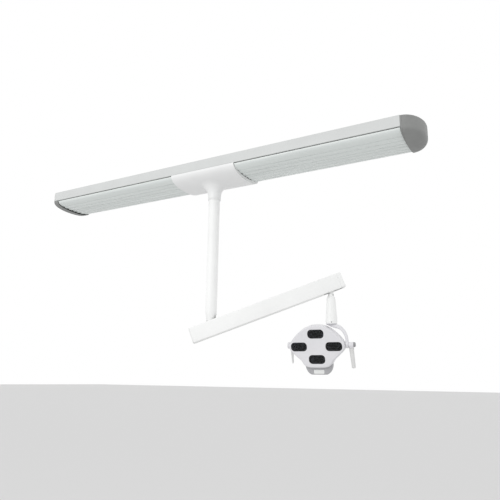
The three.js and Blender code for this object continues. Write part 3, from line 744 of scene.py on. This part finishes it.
def down_pole():
    """The painted tube with its tapered end, and the trim ring under the neck."""
    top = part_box("pole")[1].z / MM
    outer = soft_profile([(POLE_R, top), (POLE_R, TAPER_TOP, 26), (POLE_END_R, TAPER_LOW, 8),
                          (POLE_END_R, POLE_BOTTOM + 1), (POLE_END_R - 1, POLE_BOTTOM)])
    inner = [(POLE_BORE_R, top), (POLE_BORE_R, TAPER_TOP + 6), (POLE_END_BORE_R, TAPER_TOP),
             (POLE_END_BORE_R, POLE_BOTTOM)]
    make("pole_tube", lathe(hollow_profile(outer, inner), 128), "ceiling_unit", "white_paint",
         replaces=["pole"])
    ring_top = NECK_BOTTOM - GAP
    bore = POLE_R + 0.2
    ring = soft_profile([(35.2, ring_top), (36, ring_top - 0.8), (36, ring_top - 4, 1.2),
                         (33, ring_top - 7, 1), (bore, ring_top - 7)])
    make("neck_trim_ring", lathe(hollow_profile(ring, [(bore, ring_top)]), 128), "ceiling_unit",
         "white_plastic", replaces=["neck_ring"])


FLANGE_LOW = -18.6
ANCHOR_CIRCLE_R = 68
LAMP_CAP_LENGTH = 13


def ceiling_fixings():
    """Anchor bolts of the flange and metal caps on the four tubes."""
    for index in range(4):
        washer = hollow_profile([(9.5, 0), (9.5, 1.6)], [(5, 0), (5, 1.6)])
        bolt = cylinder(8, 1.6, 7.2, steps=6)
        bolt.add(lathe(washer, 32)).add(cylinder(4.6, 6, 11, rim=0.8, steps=24))
        spot = polar(ANCHOR_CIRCLE_R, math.radians(45 + 90 * index))
        make(f"anchor_nut_{index + 1}", oriented(bolt, (*spot, FLANGE_LOW), (0, 0, -1)), "ceiling_unit",
             "steel", bevel=0.5)
    for wing in ("left", "right"):
        for row in ("front", "rear"):
            low, high = (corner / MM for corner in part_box(f"lamp_{wing}_{row}"))
            y, z = (low.y + high.y) / 2, (low.z + high.z) / 2
            for end, x, out in (("a", low.x, 1), ("b", high.x, -1)):
                outer, inner = ([(r, x + 0.2 * out), (r, x + LAMP_CAP_LENGTH * out)] for r in (8.25, 8.02))
                cap = moved(turned_to(lathe(hollow_profile(outer, inner), 32), "x"), (0, y, z))
                make(f"lamp_cap_{wing}_{row}_{end}", cap, "ceiling_unit", "steel")


# ---------------------------------------------------------------- spring arm

PLATE = 5
SHELL_START = -ARM_TAIL + PLATE + GAP
NOSE_SKIRT = 23
SHELL_END = ARM_END - NOSE_SKIRT - GAP
SHELL = 2.5
EDGE_R = 5


def stem_slot():
    """The opening under the nose that the stem swings in."""
    return prism(round_rect(111, 34, 8, (ARM_PIVOTS - 1.5, 0)), -ARM_H / 2 - 10, -ARM_H / 2 + 12, "z")


def arm_shell(name, side):
    """Half of the painted box cover, with rounded long edges and its share of the two slots."""
    w, h, seam = ARM_W / 2, ARM_H / 2, GAP / 2
    outer = [(seam, h)]
    inner = [(seam, h - SHELL)]
    for sign, first in ((1, 90), (-1, 0)):
        for step in range(9):
            angle = math.radians(first - 90 * step / 8)
            c, s = math.cos(angle), math.sin(angle)
            outer.append((w - EDGE_R + EDGE_R * c, sign * (h - EDGE_R) + EDGE_R * s))
            inner.append((w - EDGE_R + (EDGE_R - SHELL) * c, sign * (h - EDGE_R) + (EDGE_R - SHELL) * s))
    outer.append((seam, -h))
    inner.append((seam, -h + SHELL))
    walls = ([(side * y, z) for y, z in line] for line in (outer, inner))
    pole_slot = prism(round_rect(148, 54, 12), h - 12, h + 10, "z")
    make(name + "_cover", trough(*walls, SHELL_START, SHELL_END), "arm", "white_paint", replaces=[name],
         cutters=[pole_slot, stem_slot()], bevel=0.5)


def arm_end(name, face, out):
    """A closing plate with softened rims, a shallow raised panel, two screws and a spigot behind it."""
    start = face - out * PLATE

    def slab(piece, shrink, corner, ends, rim, slot, replaces=()):
        outline = round_rect(ARM_W - shrink, ARM_H - shrink, corner)
        plate = swapped(rounded_plate(outline, *sorted(ends), rim))
        make(f"{name}_{piece}", plate, "arm", slot, replaces=replaces)

    slab("plate", 0, 6, (start, face), 1.8, "white_paint", [name])
    slab("panel", 15, 5, (face - out * 2, face + out * 0.9), 0.8, "white_paint")
    for label, z in (("low", -27), ("high", 27)):
        screw = oriented(screw_head(3.6, 1.8), (face + out * 0.9, 0, z), (out, 0, 0))
        make(f"{name}_screw_{label}", screw, "arm", "steel")
    slab("spigot", 6.2, 3, (start + out * 0.5, start - out * 3), 0.6, "white_plastic")


def nose_skirt():
    """The nose cap's sleeve, which meets the two covers in a fine dark seam."""
    outer = round_rect(ARM_W, ARM_H, 6)
    inner = round_rect(ARM_W - 5, ARM_H - 5, 3.5)
    start, end = ARM_END - NOSE_SKIRT, ARM_END - PLATE + 0.2
    loops = [(outer, start + 0.8, 0.7), (outer, start + 1.4, 0), (outer, end, 0), (inner, end, 0),
             (inner, start, 0), (outer, start, 1.2), (outer, start + 0.8, 0.7)]
    sleeve = lofted([[(x, y, z) for y, z in inset(outline, sunk)] for outline, x, sunk in loops])
    make("arm_nose_cap_skirt", sleeve, "arm", "white_paint", cutters=[stem_slot()])


# ---------------------------------------------------------------- stem and yoke

BOTTLE = ((15, 1), (15, 10), (18.2, 17), (22, 24), (23.8, 34), (25.4, 60), (28.2, 98), (STEM_R, 134))
BRAKE_SIDE = math.radians(-28)
GRUB_SIDE = math.radians(-77)


def stem_bottle():
    """The bottle-shaped swivel housing, its brake screw and the grub screw near its foot."""
    line = spline([(radius, STEM_TOP - drop) for radius, drop in BOTTLE])
    foot = soft_profile([line[-1], (STEM_R, STEM_BOTTOM, 1.5), (29, STEM_BOTTOM)])
    outer = [(14.2, STEM_TOP), *line, *foot[1:]]
    inner = [(9.3, STEM_TOP), (9.3, STEM_TOP - 40), (20, STEM_TOP - 48), (26, STEM_BOTTOM)]
    make("stem_bottle", lathe(hollow_profile(outer, inner), 128), "stem", "white_paint",
         replaces=["stem_housing"], smooth=50)
    for name, side, radius, height, z, replaced in (
            ("stem_brake_screw", BRAKE_SIDE, 15.3, 2.2, STEM_TOP - 8.5, ["brake_screw"]),
            ("stem_grub_screw", GRUB_SIDE, 30.1, 1.2, STEM_BOTTOM + 7, [])):
        screw = oriented(screw_head(3, height), (*polar(radius, side), z), (*polar(1, side), 0))
        make(name, screw, "stem", "steel", replaces=replaced, finish="spring_steel")


YOKE_OUT = HEAD_HALF + YOKE_GAP + YOKE_T - HEAD_SIDE
YOKE_IN = YOKE_OUT - YOKE_T
YOKE_DEPTH = 22
YOKE_HALF_W = 12
YOKE_CENTRE = (16, 14)
TURNTABLE_R = 29
TURNTABLE_T = 5.5


def yoke_arm():
    """A one-sided arch of rounded section between the stem's turntable and the tilt hub."""
    top = STEM_BOTTOM - GAP
    cx, cz = YOKE_CENTRE
    stations = [((-20, top - 5), (-20, top)), ((-4, top - 14), (-4, top))]
    for i in range(29):
        angle = math.pi / 2 * (1 - i / 28)
        c, s = math.cos(angle), math.sin(angle)
        stations.append(((cx + (YOKE_IN - cx) * c, cz + (top - YOKE_DEPTH - cz) * s),
                         (cx + (YOKE_OUT - cx) * c, cz + (top - cz) * s)))
    stations.append(((YOKE_IN, 2), (YOKE_OUT, 2)))
    sections = []
    for (ix, iz), (ox, oz) in stations:
        depth = math.hypot(ox - ix, oz - iz)
        ux, uz = (ox - ix) / depth, (oz - iz) / depth
        section = round_rect(depth, 2 * YOKE_HALF_W, 5.5 if depth > 12 else 3.5, (depth / 2, 0), 6)
        sections.append([(ix + ux * a, b, iz + uz * a) for a, b in section])
    disc = [(0, top), (TURNTABLE_R, top, 1), (TURNTABLE_R, top - 3, 1.5), (23, top - TURNTABLE_T, 1.5),
            (0, top - TURNTABLE_T)]
    turntable = lathe(soft_profile(disc), 96)
    hub = cylinder(18, YOKE_IN, YOKE_OUT, "x", rim=2.5, steps=96)
    make("yoke_limb", lofted(sections, start=True, end=True), "stem", "head_plastic", replaces=["yoke_arm"],
         joins=[turntable, hub], cutters=[shaft_bore(YOKE_IN - 10, YOKE_OUT + 10)], bevel=0.7, smooth=50)


# ---------------------------------------------------------------- lamp head

HEAD_KNOTS = [(0, 110), (45, 102), (82, 81), (113, 54), (139, 24), (HEAD_HALF, -2), (142, -26), (112, -56),
              (86, -80), (73, -100), (52, -112), (0, -115)]


def head_outline(count=160):
    """The head's closed outline, even steps along a smooth curve; it runs anticlockwise from the top."""
    knots = [Vector(p) for p in HEAD_KNOTS + [(-x, z) for x, z in HEAD_KNOTS[-2:0:-1]]]
    line = []
    for i, start in enumerate(knots):
        before, end, after = knots[i - 1], knots[(i + 1) % len(knots)], knots[(i + 2) % len(knots)]
        t0 = math.sqrt((start - before).length)
        t1 = math.sqrt((end - start).length)
        t2 = math.sqrt((after - end).length)
        lead = ((start - before) / t0 - (end - before) / (t0 + t1) + (end - start) / t1) * t1
        tail = ((end - start) / t1 - (after - start) / (t1 + t2) + (after - end) / t2) * t1
        for k in range(24):
            t = k / 24
            line.append(start * (2 * t ** 3 - 3 * t * t + 1) + lead * (t ** 3 - 2 * t * t + t)
                        + end * (3 * t * t - 2 * t ** 3) + tail * (t ** 3 - t * t))
    lengths = [0.0]
    for i in range(len(line)):
        lengths.append(lengths[-1] + (line[(i + 1) % len(line)] - line[i]).length)
    points = []
    at = 0
    for k in range(count):
        goal = lengths[-1] * k / count
        while lengths[at + 1] < goal:
            at += 1
        share = (goal - lengths[at]) / (lengths[at + 1] - lengths[at])
        p = line[at].lerp(line[(at + 1) % len(line)], share)
        points.append((p.x, p.y))
    return points[::-1]


OUTLINE = head_outline()
HEAD_MID = (0, -8)
COVER_EDGE = 9
COVER_WALL = 3
FACE_CROWN = 1.2


def scaled(outline, share):
    """An outline drawn towards the head's middle."""
    mx, mz = HEAD_MID
    return [(mx + (x - mx) * share, mz + (z - mz) * share) for x, z in outline]


def front_cover():
    """A crowned face with a rounded edge and four window openings, hollow behind."""
    outside = [(inset(OUTLINE, COVER_WALL), -SPLIT), (OUTLINE, -SPLIT)]
    for step in range(9):
        angle = math.radians(90 * step / 8)
        outside.append((inset(OUTLINE, COVER_EDGE * (1 - math.cos(angle))),
                        -FACE + FACE_CROWN + COVER_EDGE - COVER_EDGE * math.sin(angle)))
    for share in (0.8, 0.6, 0.4, 0.2):
        outside.append((scaled(inset(OUTLINE, COVER_EDGE), share), -FACE + FACE_CROWN * share * share))
    back = -FACE + COVER_WALL
    core = inset(OUTLINE, COVER_WALL + 3)
    inside = [(scaled(core, 0.2), back), (scaled(core, 0.6), back), (core, back + 1),
              (inset(OUTLINE, COVER_WALL), back + 6)]
    surface = Surface()
    surface.loft([standing(*ring) for ring in outside], end=True)
    innermost = surface.loft([standing(*ring) for ring in inside], start=True)
    surface.bridge(innermost, range(len(OUTLINE)))
    openings = [prism(round_rect(WINDOW_W, WINDOW_H, WINDOW_R, at), -60, -SPLIT - 2, "y")
                for at in WINDOWS.values()]
    make("front_cover_shell", surface, "head", "head_plastic", replaces=["front_cover"], cutters=openings,
         bevel=1.1, smooth=45)


DOME = (190, 60, 158)
DOME_MID_Y = -10
DOME_POWER = 16
DOME_STEPS = 24


def rear_housing():
    """The outline drawn in smoothly by a flat ellipsoid, with vent slots, a shaft bore and four screws."""
    mx, mz = HEAD_MID
    depths = [-SPLIT + GAP]
    depths += [-SPLIT + 2 + (HEAD_BACK + SPLIT - 2.3) * math.sin(math.pi / 2 * k / DOME_STEPS)
               for k in range(DOME_STEPS + 1)]
    rings = []
    for y in depths:
        shrink = math.sqrt(max(0.0, 1 - ((y - DOME_MID_Y) / DOME[1]) ** 2))
        points = []
        for x, z in OUTLINE:
            dx, dz = x - mx, z - mz
            reach = math.hypot(dx, dz)
            limit = shrink / math.hypot(dx / reach / DOME[0], dz / reach / DOME[2])
            radius = 0.0
            if limit > WELD:
                radius = (reach ** -DOME_POWER + limit ** -DOME_POWER) ** (-1 / DOME_POWER)
            points.append((mx + dx / reach * radius, y, mz + dz / reach * radius))
        rings.append(points)
    slots = [prism(round_rect(5, 38, 2.4, (x, 66)), 5, 60, "y") for x in range(-48, 49, 12)]
    slots += [prism(round_rect(5, 30, 2.4, (x, -84)), 5, 60, "y") for x in range(-36, 37, 12)]
    make("rear_housing_shell", lofted(rings, end=True), "head", "head_plastic", replaces=["rear_housing"],
         solid=2.8, cutters=[*slots, shaft_bore(120, 160)], smooth=35)
    for index, (x, z) in enumerate(((-88, 40), (88, 40), (-70, -58), (70, -58))):
        depth = DOME_MID_Y + DOME[1] * math.sqrt(1 - (x / DOME[0]) ** 2 - ((z - mz) / DOME[2]) ** 2)
        normal = (x / DOME[0] ** 2, (depth - DOME_MID_Y) / DOME[1] ** 2, (z - mz) / DOME[2] ** 2)
        screw = oriented(screw_head(4, 2), (x, depth - 0.3, z), normal)
        make(f"rear_screw_{index + 1}", screw, "head", "steel")


FACETS = 20
FACET_ROWS = 6
CUP_MOUTH_R = 21.4
CUP_DRAW = 8.6
CUP_WIDEN = 1.88


def window(name, x, z):
    """A smoked lens over a cup of staggered flat facets."""
    outline = round_rect(WINDOW_W - 2 * GAP, WINDOW_H - 2 * GAP, WINDOW_R - GAP, (x, z), 12)
    make(f"lens_{name}_plate", rounded_plate(outline, -FACE + 2, -FACE + 5.5, 0.8), "head", "lens_black",
         replaces=[f"lens_{name}"])
    cup = Surface()
    before = None
    for row in range(FACET_ROWS + 1):
        share = row / FACET_ROWS
        y = -FACE + 6 + (FACE - 4.2) * share
        radius = CUP_MOUTH_R - CUP_DRAW * share ** 1.6
        turns = [TAU * (i + row % 2 / 2) / FACETS for i in range(FACETS)]
        ring = cup.ring([(x + CUP_WIDEN * radius * math.cos(a), y, z + radius * math.sin(a)) for a in turns])
        if before:
            for i in range(FACETS):
                j = (i + 1) % FACETS
                if row % 2:
                    cup.faces += [(before[i], before[j], ring[i]), (before[j], ring[j], ring[i])]
                else:
                    cup.faces += [(before[i], before[j], ring[j]), (before[i], ring[j], ring[i])]
        before = ring
    make(f"reflector_{name}_cup", cup, "head", "reflector_metal", replaces=[f"reflector_{name}"], solid=0.9,
         smooth=2)


CHIN_FRONT = -8
CHIN_BACK = 32
CHIN_LOW = -156
CHIN_CURVE = ((74, -100), (74, -124), (60, CHIN_LOW), (36, CHIN_LOW))
CHIN_INSIDE = (64, -88)
SENSOR_Z = -140
SENSOR_W = 57
SENSOR_H = 22


def chin():
    """The rounded bowl under the face with its sensor window."""
    a, b, c, d = (Vector(p) for p in CHIN_CURVE)
    half = [CHIN_INSIDE]
    for k in range(25):
        t = k / 24
        u = 1 - t
        half.append(tuple(a * u ** 3 + b * 3 * t * u ** 2 + c * 3 * t * t * u + d * t ** 3))
    outline = [*[(-x, z) for x, z in half], *reversed(half)]
    head_plug = prism(inset(OUTLINE, -0.5), -60, 60, "y")
    pocket = prism(round_rect(SENSOR_W + 1, SENSOR_H + 1, 5, (0, SENSOR_Z)), CHIN_FRONT - 10,
                   CHIN_FRONT + 4, "y")
    # The bowl is head plastic drawn much darker: painted shade on its curved flanks.
    make("chin_bowl", rounded_plate(outline, CHIN_FRONT, CHIN_BACK, 7), "head", "head_plastic",
         finish="chin_painted_shade", replaces=["chin_pod"], cutters=[head_plug, pocket], bevel=0.8)
    pane = rounded_plate(round_rect(SENSOR_W, SENSOR_H, 4.6, (0, SENSOR_Z)), CHIN_FRONT - 1,
                         CHIN_FRONT + 3.6, 0.9)
    make("sensor_pane", pane, "head", "sensor_lens", replaces=["sensor_window"])


HUB_IN = HEAD_HALF + YOKE_GAP + GAP + YOKE_T
KNOB_IN = 192
KNOB_OUT = 201
HUB_LEFT = -164
GRIP_X = 178.5
GRIP_LEFT = (-156, 40)
KNOB_AROUND = 96
KNOB_LOBES = 6
KNOB_FLUTE = 0.9


def tilt_knob():
    """A fluted knob with a domed face."""
    def point(x, radius, depth, i):
        notch = KNOB_FLUTE * depth * abs(math.sin(KNOB_LOBES * TAU * i / KNOB_AROUND)) ** 3
        return (x, *polar(radius - notch, TAU * i / KNOB_AROUND))

    stations = ((KNOB_IN, 12.2, 0), (KNOB_IN + 0.8, 13, 1), (KNOB_OUT - 4, 12.4, 1),
                (KNOB_OUT - 1.5, 11.4, 1), (KNOB_OUT - 0.4, 9.4, 0), (KNOB_OUT, 6, 0))
    rings = [[point(*station, i) for i in range(KNOB_AROUND)] for station in stations]
    make("tilt_knob_cap", lofted(rings, start=True, end=True), "head", "cap_grey", replaces=["tilt_knob"],
         finish="knob_grey", smooth=35)


def grip(top_radius, low_radius, length, rings):
    """A tapering hand grip with a shoulder, fine rings and a rounded end."""
    def taper(z):
        return top_radius + (low_radius - top_radius) * ((-z - 6) / (length - 11)) ** 0.8

    profile = [(0, 0), (top_radius - 1, 0), (top_radius, -1), (top_radius, -6)]
    for k in range(rings):
        z = -12 - 5 * k
        sunk = taper(z) - 0.55
        profile += [(taper(z + 1.2), z + 1.2), (sunk, z + 0.5), (sunk, z - 0.5), (taper(z - 1.2), z - 1.2)]
    profile += [(taper(-length * share), -length * share) for share in (0.55, 0.7, 0.85)]
    for k in range(7):
        angle = math.radians(15 * k)
        profile.append((low_radius * math.cos(angle) if k < 6 else 0, -length + 5 - 5 * math.sin(angle)))
    return lathe(profile, 64)


def handles():
    """Right: a drum with a downward socket. Left: a disc, a strap and a lug. Each carries a grip."""
    drum = cylinder(14, HUB_IN, KNOB_IN - GAP, "x", rim=1.5)
    socket = cylinder(12, -16, -4, at=(GRIP_X, 0), rim=1.2)
    make("handle_drum_right", drum, "head", "head_plastic", replaces=["handle_hub_right"], joins=[socket],
         cutters=[shaft_bore(HUB_IN - 10, KNOB_IN + 10)], bevel=0.8)
    head = PLACES["head"]
    right = head @ Matrix.Translation((GRIP_X, 0, -17.2)) @ Matrix.Rotation(math.radians(-3), 4, "Y")
    make("grip_right", grip(12.6, 10, 105, 4), "head", "grip_plastic", place=right,
         replaces=["handle_grip_right"])
    x, y = GRIP_LEFT
    disc = cylinder(17, HUB_LEFT, -HEAD_HALF - GAP, "x", rim=2)
    strap = block((HUB_LEFT, 6, -12), (HUB_LEFT + 7, y + 6, 10))
    lug = block((HUB_LEFT, y - 6, -20), (x + 8, y + 6, 6))
    make("handle_bracket_left", disc, "head", "head_plastic", replaces=["handle_hub_left"],
         joins=[strap, lug], bevel=2)
    left = head @ Matrix.Translation((x, y, -20 - GAP))
    make("grip_left", grip(9, 4.6, 84, 3), "head", "grip_plastic", place=left, replaces=["handle_grip_left"])


# ---------------------------------------------------------------- carried-over CAD nodes

def soft_shading():
    """A modifier tree that welds a faceted CAD solid and shades its curved faces smoothly."""
    tree = bpy.data.node_groups.new("soft_shading", "GeometryNodeTree")
    tree.interface.new_socket("Geometry", in_out="INPUT", socket_type="NodeSocketGeometry")
    tree.interface.new_socket("Geometry", in_out="OUTPUT", socket_type="NodeSocketGeometry")
    nodes, links = tree.nodes, tree.links
    source = nodes.new("NodeGroupInput")
    weld = nodes.new("GeometryNodeMergeByDistance")
    weld.inputs["Distance"].default_value = WELD
    smooth = nodes.new("GeometryNodeSetShadeSmooth")
    angle = nodes.new("GeometryNodeInputMeshEdgeAngle")
    steep = nodes.new("FunctionNodeCompare")
    steep.operation = "GREATER_THAN"
    steep.inputs[1].default_value = math.radians(35)
    sharp = nodes.new("GeometryNodeSetShadeSmooth")
    sharp.domain = "EDGE"
    sharp.inputs["Shade Smooth"].default_value = False
    sink = nodes.new("NodeGroupOutput")
    links.new(source.outputs[0], weld.inputs["Geometry"])
    links.new(weld.outputs["Geometry"], smooth.inputs["Geometry"])
    links.new(smooth.outputs["Geometry"], sharp.inputs["Geometry"])
    links.new(angle.outputs["Unsigned Angle"], steep.inputs[0])
    links.new(steep.outputs["Result"], sharp.inputs["Selection"])
    links.new(sharp.outputs["Geometry"], sink.inputs[0])
    return tree


def dress_cad_nodes():
    """Gives each CAD node that stays visible its slot's finish and soft shading."""
    tree = soft_shading()
    slot_of = {part["node"]: part["material_slot"] for part in frame["record"]["subparts"]}
    for name, obj in frame["nodes"].items():
        if obj.hide_render:
            continue
        obj.data.materials.clear()
        obj.data.materials.append(FINISH[slot_of[name]])
        obj.modifiers.new("soft_shading", "NODES").node_group = tree


# ---------------------------------------------------------------- build

chassis()
end_cap("end_cap_left", -1, BAR_LEFT, LEFT_CAP_LENGTH, LEFT_SKIRT)
end_cap("end_cap_right", 1, BAR_RIGHT, CAP_LENGTH, 0)
diffuser("diffuser_left", -1)
diffuser("diffuser_right", 1)
centre_cover()
down_pole()
ceiling_fixings()
arm_shell("arm_shell_front", -1)
arm_shell("arm_shell_rear", 1)
arm_end("arm_tail_cap", -ARM_TAIL, -1)
arm_end("arm_nose_cap", ARM_END, 1)
nose_skirt()
stem_bottle()
yoke_arm()
front_cover()
rear_housing()
for window_name, (window_x, window_z) in WINDOWS.items():
    window(window_name, window_x, window_z)
chin()
tilt_knob()
handles()
dress_cad_nodes()


# ---------------------------------------------------------------- camera, floor and light

CAMERA_PLACE = (1.58735, -2.37174, -1.17851)
CAMERA_YAW = 0.5179
CAMERA_PITCH = 0.2404
CAMERA_ROLL = 0.0132
CAMERA_LENS = 38.14
FLOOR_HALF = 90
FLOOR_Z = -2.6


def camera():
    """The viewpoint: in front of the lamp and to its right, turned to it, tipped up, slightly rolled."""
    yaw, pitch, roll = CAMERA_YAW, CAMERA_PITCH, CAMERA_ROLL
    right_level = Vector((math.cos(yaw), math.sin(yaw), 0))
    ahead = Vector((-math.sin(yaw) * math.cos(pitch), math.cos(yaw) * math.cos(pitch), math.sin(pitch)))
    up_level = right_level.cross(ahead)
    right = right_level * math.cos(roll) + up_level * math.sin(roll)
    up = up_level * math.cos(roll) - right_level * math.sin(roll)
    data = bpy.data.cameras.new("camera")
    data.lens = CAMERA_LENS
    data.sensor_width = 36
    data.clip_end = 200
    obj = bpy.data.objects.new("camera", data)
    bpy.context.scene.collection.objects.link(obj)
    obj.matrix_world = Matrix.Translation(CAMERA_PLACE) @ Matrix((right, up, -ahead)).transposed().to_4x4()
    bpy.context.scene.camera = obj


def floor():
    """A plain pale floor."""
    surface = Surface()
    corners = ((-1, -1), (1, -1), (1, 1), (-1, 1))
    surface.cap(surface.ring([(x * FLOOR_HALF, y * FLOOR_HALF, 0) for x, y in corners]))
    mesh = bpy.data.meshes.new("floor")
    mesh.from_pydata(surface.verts, [], surface.faces)
    obj = bpy.data.objects.new("floor", mesh)
    obj.location.z = FLOOR_Z
    bpy.context.scene.collection.objects.link(obj)
    mat = bpy.data.materials.new("floor")
    mat.use_nodes = True
    shader = mat.node_tree.nodes["Principled BSDF"]
    shader.inputs["Base Color"].default_value = (0.68, 0.68, 0.68, 1)
    shader.inputs["Roughness"].default_value = 0.9
    shader.inputs["Specular IOR Level"].default_value = 0.1
    mesh.materials.append(mat)


def area_light(name, place, aim, size, power):
    data = bpy.data.lights.new(name, "AREA")
    data.shape = "DISK"
    data.size = size
    data.energy = power
    obj = bpy.data.objects.new(name, data)
    bpy.context.scene.collection.objects.link(obj)
    obj.location = place
    obj.rotation_mode = "QUATERNION"
    obj.rotation_quaternion = (Vector(aim) - Vector(place)).to_track_quat("-Z", "Y")


def surroundings():
    """A soft, even studio with one large disk of light in front of the lamp."""
    world = bpy.data.worlds.new("studio")
    bpy.context.scene.world = world
    world.use_nodes = True
    nodes = world.node_tree.nodes
    nodes["Background"].inputs["Strength"].default_value = 1.0
    nodes["Background"].inputs["Color"].default_value = (1, 1, 1, 1)
    area_light("key", place=(-0.66, -3.65, 0.1), aim=(0.2, 0, -0.6), size=2.8, power=30)
    bpy.context.scene.view_settings.view_transform = "Standard"


camera()
floor()
surroundings()
